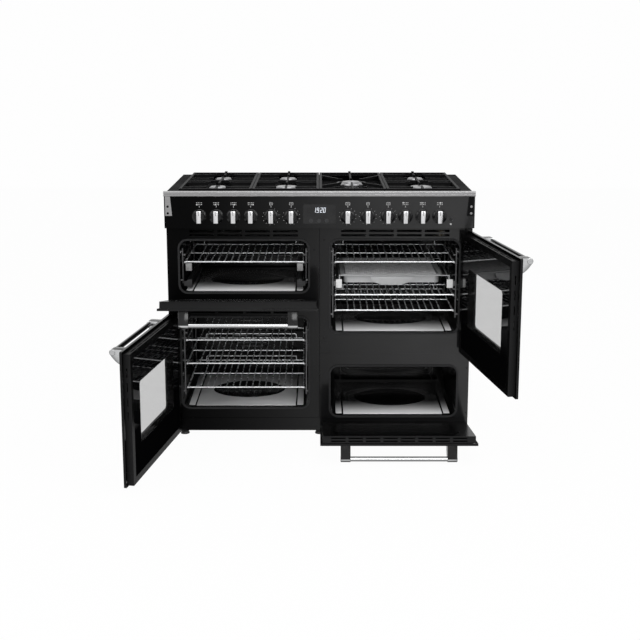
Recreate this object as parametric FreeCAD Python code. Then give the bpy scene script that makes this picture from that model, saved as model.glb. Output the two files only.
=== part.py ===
"""Range cooker, 1100 mm wide: four oven cavities, four doors and a seven-burner gas hob.

Sizes are in millimetres. The origin is on the floor under the middle front foot.
+X is to the right of a person facing the cooker, +Y runs towards its back and +Z is up.
Doors are drawn shut and then turned about their hinge pins to the open position of rest.
"""
import FreeCAD
import Part
import math
import os
from FreeCAD import Vector

# ---------------------------------------------------------------- driving dimensions
# Body
body_width = 1099.0
body_bottom = 17.0
frame_y = -20.0          # front face of the front frame
service_depth = 117.0    # the cavities' rear walls to the outer face of the back panel
sheet = 1.5              # outer body sheet
plinth_top = 66.0
seam = 1.0               # visible joint between body sheets
flange = 14.0            # inward turned edges of the side panels
base_rib_height = 18.0
base_rib_width = 40.0

# Levelling feet
foot_side_inset = 47.5
front_foot_setback = 20.0
rear_foot_setback = 60.0
foot_diameter = 34.0
foot_pad_draft = 3.0
foot_pad_height = 9.0
foot_stem_diameter = 10.0
foot_stem_top = 46.0
nut_height = 6.0

# Clearances
running_gap = 0.3        # between parts that slide or turn past each other
seat_gap = 0.3           # between a loose part and what it lies on
spindle_gap = 0.2        # round the knob spindles and the fan shaft
weld_bite = 1.0          # how far a welded piece reaches into its neighbour
past = 1.0               # how far a cutting shape passes the face that it opens
parallel = 0.99          # cosine above which an edge counts as parallel to an axis

# Doors
door_side_inset = 2.5    # from the body's side to a door's edge
door_centre_gap = 2.5    # from the middle of the cooker to a door's edge
door_bottom = 20.0
door_stack_height = 756.0
door_row_gap = 6.0
short_door_height = 294.0
door_standoff = 4.0      # frame face to the inner face of a shut door
door_thickness = 32.0
outer_panel_depth = 8.0
panel_sheet = 1.5
inner_inset = 8.0        # the inner tray is smaller than the outer panel by this, all round
inner_sheet = 1.5
hinge_edge = 14.0        # hinge axis to the door edge beside it
hinge_setback = 6.0      # hinge axis to the door's outer face
side_door_angle = 100.0
upper_flap_angle = 78.0
lower_flap_angle = 81.0
window_width = 356.0
window_height = 210.0
window_radius = 12.0
pane_thickness = 4.0
panel_corner = 5.0
inner_glass_margin = 16.0
glass_lip = 6.0
glass_radius = 10.0
plug_margin = 12.0       # raised field of a drop-down door, inside the cavity's mouth
plug_height = 3.0
door_slot_first = 7.0    # inner face to the first row
edge_slot_first = 70.0   # door top to the first slot of the free edge
door_slot_length = 50.0
door_slot_pitch = 60.0
door_slot_width = 4.5
upper_flap_slot_rows = 0
lower_flap_slot_rows = 2
side_door_slot_rows = 1
door_slot_row_pitch = 10.0
door_slot_count = 8
edge_slot_length = 30.0
edge_slot_pitch = 48.0
edge_slot_count = 4

# Hinges
pin_diameter = 6.0
pin_reach = 7.0
lug_thickness = 2.0
lug_clear = 1.5          # door edge to the hinge lug beside it
lug_width = 20.0
lug_nose = 5.0
boss_width = 16.0        # pivot boss in the side doors' outer panels
boss_wall = 4.0
boss_end = 1.0           # closed end of the boss beyond its pin
flap_pin_diameter = 5.0
flap_ear_radius = 4.0
flap_ear_thickness = 3.0
flap_arm_width = 14.0
flap_arm_rise = 30.0
flap_hinge_inset = 60.0
notch_clear = 1.5        # round the ears, in the door

# Handles
handle_length = 403.0
handle_bar_diameter = 17.0
handle_post_width = 34.0
handle_reach = 50.0      # door face to bar centre
handle_drop = 24.0       # door top edge to bar centre
handle_nose_radius = 11.0
handle_foot_drop = 74.0  # door top edge to the lower end of the post
handle_bore_depth = 28.0
handle_tail_angle = 50.0
handle_belly = 5.0
handle_bore_gap = 0.15

# Front frame, cavities
frame_sheet = 2.0
frame_rise = 23.0        # door top to the frame's top
outer_post = 46.0        # body side to the cavity beside it
middle_post = 41.5       # middle of the cooker to the cavity beside it
cavity_depth = 420.0
short_cavity_height = 188.0
tall_cavity_height = 340.0
cavity_radius = 28.0
liner_sheet = 1.5
liner_flange = 16.0
upper_left_cavity_drop = 43.0    # door top to the cavity's ceiling
upper_right_cavity_drop = 42.0
lower_left_cavity_rise = 88.0    # door bottom to the cavity's floor
lower_right_cavity_rise = 55.0
seal_width = 7.0
seal_proud = 3.6
frame_slot_length = 89.0
frame_slot_gap = 11.0
frame_slot_height = 9.0
frame_slot_count = 4
frame_slot_first = 19.0  # cavity top to the centre of the lower row
frame_slot_row_pitch = 16.0
frame_slot_rows = 2
floor_dish_length = 270.0
floor_dish_width = 200.0
floor_dish_height = 3.0

# Shelves and ladders
wire = 6.0
thin_wire = 4.0
shelf_side_gap = 17.0    # cavity wall to the shelf's side wire
shelf_back_gap = 56.0    # the shelf's rear wire to the cavity's rear wall
shelf_rod_count = 15
shelf_rod_pitch = 24.0
shelf_setback = 14.0     # frame face to the shelf's front wire
shelf_backstop = 18.0
upper_left_shelves = [80.0]      # below the cavity's ceiling
upper_right_shelves = [81.0, 203.0, 261.0]
lower_left_shelves = [87.0, 176.0, 268.0]
spare_rung_drop = 30.0
ladder_wall_gap = 7.0    # cavity wall to the middle of the ladder's uprights
rung_wall_gap = 15.0     # cavity wall to the middle of the rungs
ladder_setback = 24.0
ladder_back_gap = 36.0   # rear uprights to the cavity's rear wall
ladder_foot = 24.0       # ladder ends beyond the outer rungs
stud_diameter = 7.0

# Slide rails and grill pan
rail_wall_gap = 22.0     # cavity wall to the rail beside it
rail_width = 18.0
rail_height = 30.0
upper_left_rail_rise = 11.0      # cavity floor to the rails' lower edge
upper_right_rail_drop = 178.0    # cavity ceiling to the rails' lower edge
rail_sheet = 2.0
rail_back_gap = 32.0
rail_setback = 20.0
rail_tab_inset = 6.0     # rail top and bottom to its tabs
pan_rail_play = 10.0
pan_back_gap = 44.0      # pan's rim to the rear end of the rails
pan_height = 32.0
pan_sheet = 1.5
pan_rim = 12.0
pan_rise = 48.0          # rails' lower edge to the pan's rim
pan_radius = 18.0
pan_side_shift = -10.0
pan_setback = 4.0
pan_lip_radius = 170.0
pan_lip_reach = 7.0

# Fan
fan_diameter = 150.0
fan_disc_diameter = 140.0
fan_thickness = 14.0
fan_blade_count = 8
fan_hub_diameter = 36.0
fan_shaft_diameter = 8.0
fan_wall_gap = 1.2       # round the shaft, where it passes the liner
fan_cover_width = 300.0
fan_cover_height = 250.0
fan_cover_depth = 34.0
fan_cover_slots = 9
fan_slot_pitch = 15.0
fan_slot_width = 5.0
fan_wheel_gap = 8.0
fan_shaft_reach = 20.0
motor_leg_circle = 70.0
motor_diameter = 88.0
motor_length = 58.0
motor_clear = 14.0

# Fascia, knobs and clock
fascia_proud = 44.0
fascia_lap = 10.0        # door top to the fascia's lower edge
fascia_height = 114.0
fascia_sheet = 2.0
knob_rise = 43.0         # fascia's lower edge to the knobs' centres
knob_x = [-425.0, -365.0, -304.0, -243.0, -171.5, -100.0, 100.0, 171.5, 243.0, 304.0, 365.0, 425.0]
knob_skirt_diameter = 52.0
knob_skirt_thickness = 5.0
knob_rim_thickness = 2.0
knob_collar_diameter = 38.0
knob_collar_height = 8.0
knob_collar_draft = 2.0
knob_grip_width = 20.0
knob_grip_length = 48.0
knob_grip_height = 17.0
knob_grip_radius = 8.0
knob_fascia_gap = 0.6
spindle_diameter = 8.0
spindle_length = 26.0
clock_width = 116.0
clock_rise = 16.0
clock_height = 70.0
clock_thickness = 3.0
clock_radius = 6.0
button_x = 465.0
button_rise = 33.0
button_diameter = 9.0
button_proud = 3.0
button_stem = 14.0
button_collar_diameter = 13.0
button_collar_thickness = 1.5
switch_width = 16.0
switch_travel = 2.0

# The back panel's openings
back_slot_length = 60.0
back_slot_gap = 14.0
back_slot_height = 5.0
back_slot_pitch = 14.0
back_slot_rows = 6
back_slot_count = 5
back_slot_bottom = 640.0
cable_hole_diameter = 22.0
cable_hole_x = -470.0
cable_hole_z = 640.0
splash_hole_diameter = 5.0
splash_hole_spacing = 600.0
splash_hole_drop = 20.0
back_slot_inset = 40.0   # towards the middle, from the cavities' centres
inlet_hole_gap = 2.0

# Taps and gas rail
tap_width = 26.0
tap_height = 30.0
tap_depth = 22.0
tap_setback = 6.0        # inner face of the fascia to the tap's face
gas_rail_diameter = 16.0
gas_rail_bite = 2.0      # how deep the rail lies in the taps
gas_rail_side_gap = 32.0
inlet_diameter = 21.0
inlet_proud = 20.0
inlet_side_inset = 49.5
inlet_rise = 26.0
inlet_collar = 10.0
rail_bracket_x = 270.0
rail_bracket_width = 20.0

# Front rail and its end brackets
rail_rise = 10.0         # above the hob's rim
rail_proud = 6.0         # ahead of the fascia
rail_overhang = 1.0
rail_radius = 2.5
rail_groove_drop = 7.0
front_rail_depth = 12.0
front_rail_groove = 3.0
front_rail_groove_height = 4.0
bracket_width_top = 18.0
bracket_width_bottom = 24.0
bracket_rise = 45.0
bracket_thickness = 3.0
bracket_inset = 4.0
screw_diameter = 5.0
screw_head_diameter = 8.0
screw_head_height = 1.6
screw_reach = 4.0
screw_shift = 3.0
screw_rise = [78.0, 54.0]

# Hob
hob_rise = 8.0           # fascia top to the hob's flat rim
hob_sheet = 2.0
hob_skirt = 22.0
well_depth = 18.0
well_side_inset = 41.5
well_front = 6.0         # frame face to the front wall of the well
well_back_margin = 32.0
well_radius = 8.0
burner_rear_inset = 130.0        # rear wall of the well to the centres of the rear burners
burner_front = 125.0     # frame face to the centres of the front burners
burner_middle = 235.0
small_burner = 72.0
large_burner = 92.0
wok_burner = 126.0
burner_base_height = 12.0
burner_dish_draft = 6.0
burner_crown_inset = 3.0
burner_crown_height = 8.0
burner_cap_height = 4.0
burner_cap_inset = 3.0
burner_cap_draft = 3.0
burner_slots = 16
burner_slot_width = 2.4
burner_slot_depth = 4.0
burner_slot_floor = 2.0
wok_crown_low = 0.55     # shares of the wok burner's flame ring
wok_crown_high = 0.5
wok_crown_height = 4.0
burner_throat = 0.5      # share of a burner's diameter that passes through the hob plate
burner_throat_drop = 22.0

# Pan supports
grate_rise = 13.0        # above the hob's rim
grate_bar_height = 11.0
grate_bar_width = 9.0
grate_joints = [-242.0, -1.0, 240.0]
grate_side_gap = 4.0     # well wall to the grate beside it
grate_gap = 1.0
grate_front = -8.0       # ahead of the frame face is positive
grate_back_gap = 5.0
grate_finger_gap = 34.0  # column centre to the tips of the short fingers
grate_tip_cover = 2.0    # how far a finger's tip reaches over its burner's dish
grate_tip_rise = 5.0
finger_width = 7.0
finger_tip_height = 3.0
finger_slope = 22.0
grate_rows = [434.0, 316.0, 196.0, 55.0]
wok_arm_inset = 90.0

# ---------------------------------------------------------------- derived places
half_body = body_width / 2
back_y = frame_y + cavity_depth + service_depth
foot_x = half_body - foot_side_inset
door_edge_x = half_body - door_side_inset
door_top = door_bottom + door_stack_height
frame_top = door_top + frame_rise
tall_door_height = door_top - door_bottom - door_row_gap - short_door_height
upper_flap_bottom = door_top - short_door_height
upper_door_bottom = door_top - tall_door_height
lower_door_top = door_bottom + tall_door_height
lower_flap_top = door_bottom + short_door_height
door_inner_y = frame_y - door_standoff
door_outer_y = door_inner_y - door_thickness
hinge_y = door_outer_y + hinge_setback
tray_front_y = door_outer_y + outer_panel_depth
fascia_y = frame_y - fascia_proud
hob_front_y = fascia_y + front_rail_depth
door_width = door_edge_x - door_centre_gap
door_centre_x = door_centre_gap + door_width / 2
side_hinge_x = door_edge_x - hinge_edge
upper_flap_axis = upper_flap_bottom + hinge_edge
lower_flap_axis = door_bottom + hinge_edge
cavity_width = half_body - outer_post - middle_post
cavity_centre_x = middle_post + cavity_width / 2
upper_left_cavity_z = door_top - upper_left_cavity_drop - short_cavity_height
upper_right_cavity_z = door_top - upper_right_cavity_drop - tall_cavity_height
lower_left_cavity_z = door_bottom + lower_left_cavity_rise
lower_right_cavity_z = door_bottom + lower_right_cavity_rise
shelf_width = cavity_width - 2 * shelf_side_gap
ladder_offset = cavity_width / 2 - ladder_wall_gap
rung_offset = cavity_width / 2 - rung_wall_gap
rail_inner = cavity_width / 2 - rail_wall_gap - rail_width
rail_levels = {
    "upper_left": upper_left_cavity_z + upper_left_rail_rise,
    "upper_right": upper_right_cavity_z + tall_cavity_height - upper_right_rail_drop,
}
shelf_depth = cavity_depth - shelf_setback - shelf_back_gap
ladder_depth = cavity_depth - ladder_setback - ladder_back_gap
rail_depth = cavity_depth - rail_setback - rail_back_gap
pan_width = 2 * rail_inner - pan_rail_play
pan_depth = rail_depth - pan_setback - pan_back_gap
pan_rim_z = rail_levels["upper_right"] + pan_rise
fascia_bottom = door_top + fascia_lap
fascia_top = fascia_bottom + fascia_height
knob_z = fascia_bottom + knob_rise
clock_bottom = fascia_bottom + clock_rise
clock_top = clock_bottom + clock_height
button_z = fascia_bottom + button_rise
inlet_x = half_body - inlet_side_inset
inlet_z = fascia_bottom + inlet_rise
bracket_bottom = fascia_bottom + bracket_rise
screw_z = [fascia_bottom + rise for rise in screw_rise]
hob_z = fascia_top + hob_rise
rail_top = hob_z + rail_rise
well_floor_z = hob_z - well_depth
well_half_width = half_body - well_side_inset
well_back = back_y - frame_y - well_back_margin
burner_rear = well_back - burner_rear_inset
grate_back = grate_back_gap - well_back
grate_top = hob_z + grate_rise
grate_end = well_half_width - grate_side_gap
grate_edges = [-grate_end] + grate_joints + [grate_end]
screw_place_x = half_body - bracket_inset - bracket_width_bottom / 2 + screw_shift


def ahead(distance):
    """The Y of a plane that lies a distance in front of the front frame."""
    return frame_y - distance


# ---------------------------------------------------------------- shape helpers
def block(x0, x1, y0, y1, z0, z1):
    """A box between two corners."""
    return Part.makeBox(x1 - x0, y1 - y0, z1 - z0, Vector(x0, y0, z0))


def round_bar(diameter, start, end):
    """A cylinder from one point to another."""
    start = Vector(*start)
    along = Vector(*end).sub(start)
    return Part.makeCylinder(diameter / 2, along.Length, start, along)


def wire_bar(diameter, start, end):
    """A wire drawn with six flat sides, from one point to another."""
    start = Vector(*start)
    along = Vector(*end).sub(start)
    turn = FreeCAD.Rotation(Vector(0, 0, 1), along)
    corners = []
    for step in range(6):
        angle = math.radians(60 * step)
        corner = Vector(math.cos(angle), math.sin(angle), 0).multiply(diameter / 2)
        corners.append(start.add(turn.multVec(corner)))
    outline = Part.makePolygon(corners + corners[:1])
    return Part.Face(outline).extrude(along)


def rounded(shape, axis, radius):
    """A block with its four edges along one axis rounded."""
    edges = [edge for edge in shape.Edges if abs(edge.tangentAt(edge.FirstParameter).dot(axis)) > parallel]
    return shape.makeFillet(radius, edges)


def rounded_block(x0, x1, y0, y1, z0, z1, radius, axis=Vector(0, 1, 0)):
    """A block whose four edges along an axis are rounded."""
    return rounded(block(x0, x1, y0, y1, z0, z1), axis, radius)


def slot_row(centre_x, z, y0, y1, length, gap, height, count):
    """Slots side by side along X, cut through a plate from y0 to y1."""
    slots = []
    pitch = length + gap
    for number in range(count):
        middle = centre_x + (number - (count - 1) / 2) * pitch
        low, high = middle - length / 2, middle + length / 2
        slots.append(block(low, high, y0, y1, z - height / 2, z + height / 2))
    return slots


def fuse(shapes):
    """One solid from touching shapes."""
    return shapes[0].multiFuse(shapes[1:]).removeSplitter() if len(shapes) > 1 else shapes[0]


def cut(shape, tools):
    """A shape less all the tools."""
    return shape.cut(Part.makeCompound(tools)) if tools else shape


def mirrored(shape):
    """The same shape on the other side of the cooker's middle plane."""
    return shape.mirror(Vector(0, 0, 0), Vector(1, 0, 0))


def group(shapes):
    """Separate solids kept in one part."""
    return Part.makeCompound(shapes)


# ---------------------------------------------------------------- cavities
def cavity(name):
    """The centre, floor and height of a cavity's mouth."""
    return {
        "upper_left": (-cavity_centre_x, upper_left_cavity_z, short_cavity_height),
        "upper_right": (cavity_centre_x, upper_right_cavity_z, tall_cavity_height),
        "lower_left": (-cavity_centre_x, lower_left_cavity_z, tall_cavity_height),
        "lower_right": (cavity_centre_x, lower_right_cavity_z, short_cavity_height),
    }[name]


cavity_names = ["upper_left", "upper_right", "lower_left", "lower_right"]
shelf_cavities = cavity_names[:3]


def mouth(name, grow, y0, y1):
    """A rounded block the size of a cavity's mouth, grown on every side."""
    centre, floor, height = cavity(name)
    half = cavity_width / 2 + grow
    return rounded_block(
        centre - half, centre + half, y0, y1, floor - grow, floor + height + grow, cavity_radius + grow
    )


def oven_liner(name):
    """Enamelled cavity: a five-sided shell with rounded corners, a front flange and a dished floor."""
    centre, floor, height = cavity(name)
    front = frame_y + frame_sheet
    rear = frame_y + cavity_depth
    shell = mouth(name, liner_sheet, front, rear + liner_sheet)
    collar = mouth(name, liner_flange, front, front + liner_sheet)
    hollow = mouth(name, 0, front, rear)
    liner = shell.fuse(collar).cut(hollow)
    dish = Part.Face(
        Part.Wire(Part.Ellipse(Vector(0, 0, 0), floor_dish_length / 2, floor_dish_width / 2).toShape())
    ).extrude(Vector(0, 0, floor_dish_height + liner_sheet))
    dish.translate(Vector(centre, frame_y + cavity_depth / 2, floor - liner_sheet))
    liner = liner.fuse(dish)
    if name == "lower_left":
        shaft_hole = round_bar(
            fan_shaft_diameter + 2 * fan_wall_gap,
            (centre, rear - liner_sheet, floor + height / 2),
            (centre, rear + 2 * liner_sheet, floor + height / 2),
        )
        liner = liner.cut(shaft_hole)
    return liner


def door_seals():
    """One heat-proof gasket round each cavity's mouth, lying on the front frame."""
    seals = []
    for name in cavity_names:
        outer = mouth(name, seal_width + seat_gap, ahead(seal_proud), frame_y)
        inner = mouth(name, seat_gap, ahead(seal_proud), frame_y)
        seals.append(outer.cut(inner))
    return group(seals)


# ---------------------------------------------------------------- body
def base_frame():
    """Folded base tray with stiffening ribs, foot holes and the two lower door lugs' tabs."""
    half = half_body - sheet
    tray = block(-half, half, frame_y, back_y - sheet, body_bottom, plinth_top)
    hollow = block(
        -half + sheet, half - sheet, frame_y + sheet, back_y - 2 * sheet, body_bottom + sheet, plinth_top
    )
    tray = tray.cut(hollow)
    ribs = []
    for x in (-foot_x, 0.0, foot_x):
        low = max(x - base_rib_width / 2, -half)
        high = min(x + base_rib_width / 2, half)
        rib = block(low, high, frame_y, back_y - sheet, body_bottom, body_bottom + base_rib_height)
        inside = block(
            low + sheet, high - sheet, frame_y + sheet, back_y - 2 * sheet, body_bottom + sheet,
            body_bottom + base_rib_height - sheet,
        )
        ribs.append(rib.cut(inside))
    tray = fuse([tray] + ribs)
    holes = []
    for x, y in foot_places():
        holes.append(
            round_bar(foot_stem_diameter + 2 * running_gap, (x, y, body_bottom - past), (x, y, plinth_top))
        )
    tray = cut(tray, holes)
    brackets = [flap_hinge_bracket(x, lower_flap_axis) for x in flap_hinge_places(1)]
    return fuse([tray, lower_left_lug()] + brackets)


def foot_places():
    """Centres of the six feet."""
    rows = (frame_y + front_foot_setback, back_y - rear_foot_setback)
    return [(x, y) for y in rows for x in (-foot_x, 0.0, foot_x)]


def levelling_feet():
    """Six screw feet: a round pad, a lock nut and a stem that rises through the base tray."""
    feet = []
    for x, y in foot_places():
        pad = Part.makeCone(foot_diameter / 2, foot_diameter / 2 - foot_pad_draft, foot_pad_height, Vector(x, y, 0))
        nut_corners = []
        for step in range(7):
            angle = math.radians(60 * step)
            reach = foot_stem_diameter
            nut_corners.append(
                Vector(x + reach * math.cos(angle), y + reach * math.sin(angle), body_bottom - nut_height)
            )
        nut = Part.Face(Part.makePolygon(nut_corners)).extrude(Vector(0, 0, nut_height))
        stem = round_bar(foot_stem_diameter, (x, y, foot_pad_height - weld_bite), (x, y, foot_stem_top))
        feet.append(fuse([pad, nut, stem]))
    return group(feet)


def side_panels():
    """Left and right side sheets, each with its top, front and back edges turned inward."""
    x = half_body
    top = hob_z - hob_sheet
    front = frame_y + frame_sheet
    back = back_y - sheet
    wall = block(x - sheet, x, front, back, body_bottom, top)
    top_edge = block(x - flange, x, front, back, top - sheet, top)
    front_edge = block(x - flange, x, front, front + sheet, plinth_top, top)
    back_edge = block(x - flange, x, back - sheet, back, plinth_top, top)
    right = fuse([wall, top_edge, front_edge, back_edge])
    return group([mirrored(right), right])


def back_panel():
    """Rear sheet with cooling louvres, the gas and cable holes and two splashback fixing holes."""
    top = hob_z - hob_sheet
    panel = block(-half_body, half_body, back_y - sheet, back_y, body_bottom, top)
    tools = []
    for row in range(back_slot_rows):
        z = back_slot_bottom + row * back_slot_pitch
        for centre in (back_slot_inset - cavity_centre_x, cavity_centre_x - back_slot_inset):
            tools += slot_row(
                centre, z, back_y - 2 * sheet, back_y + sheet, back_slot_length, back_slot_gap,
                back_slot_height, back_slot_count,
            )
    rear = back_y + sheet
    inner = back_y - 2 * sheet
    inlet_hole = inlet_diameter + 2 * inlet_hole_gap
    tools.append(round_bar(inlet_hole, (inlet_x, inner, inlet_z), (inlet_x, rear, inlet_z)))
    tools.append(
        round_bar(cable_hole_diameter, (cable_hole_x, inner, cable_hole_z), (cable_hole_x, rear, cable_hole_z))
    )
    for x in (-splash_hole_spacing / 2, splash_hole_spacing / 2):
        z = top - splash_hole_drop
        tools.append(round_bar(splash_hole_diameter, (x, inner, z), (x, rear, z)))
    return cut(panel, tools)


def side_hinge_lug(side, z0):
    """A flat lug that stands out of the frame and holds a side door's pin, on the left (-1) or right (1)."""
    pivot_x = side * side_hinge_x
    x0, x1 = pivot_x - lug_width / 2, pivot_x + lug_width / 2
    plate = block(x0, x1, hinge_y, frame_y, z0, z0 + lug_thickness)
    foot = block(x0, x1, frame_y, frame_y + frame_sheet, z0, z0 + lug_thickness)
    nose = Part.makeCylinder(lug_nose, lug_thickness, Vector(pivot_x, hinge_y, z0))
    return fuse([plate, foot, nose])


def hinge_pin(side, z0, z1):
    """A side door's pin, welded to its lug."""
    pivot_x = side * side_hinge_x
    return round_bar(pin_diameter, (pivot_x, hinge_y, z0), (pivot_x, hinge_y, z1))


def flap_hinge_places(side):
    """The two X places of a drop-down door's hinges, on the left (-1) or right (1)."""
    near = door_centre_gap + flap_hinge_inset
    far = door_edge_x - flap_hinge_inset
    return [side * near, side * far]


def flap_hinge_bracket(x, axis_z):
    """A pair of ears on the frame with the fixed pin of a drop-down door between them."""
    half = flap_arm_width / 2 + running_gap
    ears = []
    for low in (x - half - flap_ear_thickness, x + half):
        plate = block(
            low, low + flap_ear_thickness, hinge_y, frame_y + frame_sheet,
            axis_z - flap_ear_radius, axis_z + flap_ear_radius,
        )
        middle = Vector(low, hinge_y, axis_z)
        nose = Part.makeCylinder(flap_ear_radius, flap_ear_thickness, middle, Vector(1, 0, 0))
        ears.append(plate.fuse(nose))
    outer = half + flap_ear_thickness
    pin = round_bar(flap_pin_diameter, (x - outer, hinge_y, axis_z), (x + outer, hinge_y, axis_z))
    return fuse(ears + [pin])


def front_frame():
    """Left and right front plates with the cavity mouths, cooling slots, hinge lugs and pins."""
    y0, y1 = frame_y, frame_y + frame_sheet
    bottom = plinth_top + seam
    plates = []
    for side in (-1, 1):
        x0, x1 = sorted((side * seam / 2, side * half_body))
        plate = block(x0, x1, y0, y1, bottom, frame_top)
        tools = []
        for name in cavity_names:
            centre, floor, height = cavity(name)
            if centre * side < 0:
                continue
            tools.append(mouth(name, 0, y0 - past, y1 + past))
            if name == "lower_right":
                continue
            for row in range(frame_slot_rows):
                z = floor + height + frame_slot_first + row * frame_slot_row_pitch
                tools += slot_row(
                    centre, z, y0 - past, y1 + past, frame_slot_length, frame_slot_gap, frame_slot_height,
                    frame_slot_count,
                )
        if side > 0:
            joint_z = upper_door_bottom - door_row_gap
            tools.append(block(x0 + seam, x1 + past, y0 - past, y0 + frame_sheet / 2, joint_z - seam, joint_z))
        plate = cut(plate, tools)
        pieces = [plate]
        if side < 0:
            upper_lug = lower_door_top + lug_clear
            pieces.append(side_hinge_lug(side, upper_lug))
            pieces.append(hinge_pin(side, lower_door_top - pin_reach, upper_lug + lug_thickness))
            for x in flap_hinge_places(side):
                pieces.append(flap_hinge_bracket(x, upper_flap_axis))
        else:
            upper_lug = door_top + lug_clear
            lower_lug = upper_door_bottom - lug_clear - lug_thickness
            pieces.append(side_hinge_lug(side, upper_lug))
            pieces.append(side_hinge_lug(side, lower_lug))
            pieces.append(hinge_pin(side, door_top - pin_reach, upper_lug + lug_thickness))
            pieces.append(hinge_pin(side, lower_lug, upper_door_bottom + pin_reach))
        plates.append(fuse(pieces))
    return group(plates)


def lower_left_lug():
    """The lug, tab and pin under the lower left door, which the base tray carries."""
    z0 = door_bottom - lug_clear - lug_thickness
    x0 = -side_hinge_x - lug_width / 2
    tab = block(x0, x0 + lug_width, frame_y - lug_thickness, frame_y, z0, plinth_top - seam)
    plate = block(x0, x0 + lug_width, hinge_y, frame_y, z0, z0 + lug_thickness)
    nose = Part.makeCylinder(lug_nose, lug_thickness, Vector(-side_hinge_x, hinge_y, z0))
    return fuse([tab, plate, nose, hinge_pin(-1, z0, door_bottom + pin_reach)])


# ---------------------------------------------------------------- doors
def door_span(side):
    """The low and high X of a door on the left (-1) or right (1)."""
    return sorted((side * door_centre_gap, side * door_edge_x))


def door_opened(shape, name):
    """A shut door's piece turned to the open position of rest."""
    pivots = {
        "upper_left": (Vector(0, hinge_y, upper_flap_axis), Vector(1, 0, 0), upper_flap_angle),
        "lower_right": (Vector(0, hinge_y, lower_flap_axis), Vector(1, 0, 0), lower_flap_angle),
        "upper_right": (Vector(side_hinge_x, hinge_y, 0), Vector(0, 0, 1), side_door_angle),
        "lower_left": (Vector(-side_hinge_x, hinge_y, 0), Vector(0, 0, -1), side_door_angle),
    }
    base, axis, angle = pivots[name]
    turned = shape.copy()
    turned.rotate(base, axis, angle)
    return turned


def door_rows(name):
    """The side, bottom and top of a door."""
    return {
        "upper_left": (-1, upper_flap_bottom, door_top),
        "upper_right": (1, upper_door_bottom, door_top),
        "lower_left": (-1, door_bottom, lower_door_top),
        "lower_right": (1, door_bottom, lower_flap_top),
    }[name]


def is_flap(name):
    """Whether a door drops down instead of swinging sideways."""
    return name in ("upper_left", "lower_right")


def ear_notches(name, bottom):
    """The room that a drop-down door leaves for the ears of its hinges."""
    side = door_rows(name)[0]
    half = flap_arm_width / 2 + running_gap + flap_ear_thickness + notch_clear
    axis_z = bottom + hinge_edge
    notches = []
    for x in flap_hinge_places(side):
        notches.append(
            block(
                x - half, x + half, door_outer_y + panel_sheet, door_inner_y + past,
                bottom - past, axis_z + flap_ear_radius + notch_clear,
            )
        )
    return notches


def window_hole(name, grow, y0, y1):
    """The see-through window of a tall door, grown on every side."""
    side, bottom, top = door_rows(name)
    middle_x, middle_z = side * door_centre_x, (bottom + top) / 2
    half_x, half_z = window_width / 2 + grow, window_height / 2 + grow
    return rounded_block(
        middle_x - half_x, middle_x + half_x, y0, y1, middle_z - half_z, middle_z + half_z, window_radius + grow
    )


def door_panel(name):
    """Outer enamelled door panel: a shallow pressed pan, with a window in the tall doors."""
    side, bottom, top = door_rows(name)
    x0, x1 = door_span(side)
    back = tray_front_y
    pan = rounded_block(x0, x1, door_outer_y, back, bottom, top, panel_corner)
    hollow = rounded_block(
        x0 + panel_sheet, x1 - panel_sheet, door_outer_y + panel_sheet, back + past,
        bottom + panel_sheet, top - panel_sheet, panel_corner - panel_sheet,
    )
    panel = pan.cut(hollow)
    if is_flap(name):
        return cut(panel, ear_notches(name, bottom))
    rim = window_hole(name, panel_sheet, door_outer_y, back - seat_gap)
    panel = panel.fuse(rim).cut(window_hole(name, 0, door_outer_y - past, back + past))
    pivot_x = side * side_hinge_x
    for z0, z1 in ((bottom, bottom + pin_reach + boss_end), (top - pin_reach - boss_end, top)):
        rear = hinge_y + pin_diameter / 2 + boss_wall
        boss = block(pivot_x - boss_width / 2, pivot_x + boss_width / 2, door_outer_y, rear, z0, z1)
        panel = panel.fuse(boss)
    for z0, z1 in ((bottom - past, bottom + pin_reach + running_gap), (top - pin_reach - running_gap, top + past)):
        hole = round_bar(pin_diameter + 2 * spindle_gap, (pivot_x, hinge_y, z0), (pivot_x, hinge_y, z1))
        panel = panel.cut(hole)
    return panel


def window_pane(name):
    """The clear pane behind a tall door's window."""
    return window_hole(name, -seat_gap, tray_front_y - pane_thickness - seat_gap, tray_front_y - seat_gap)


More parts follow.
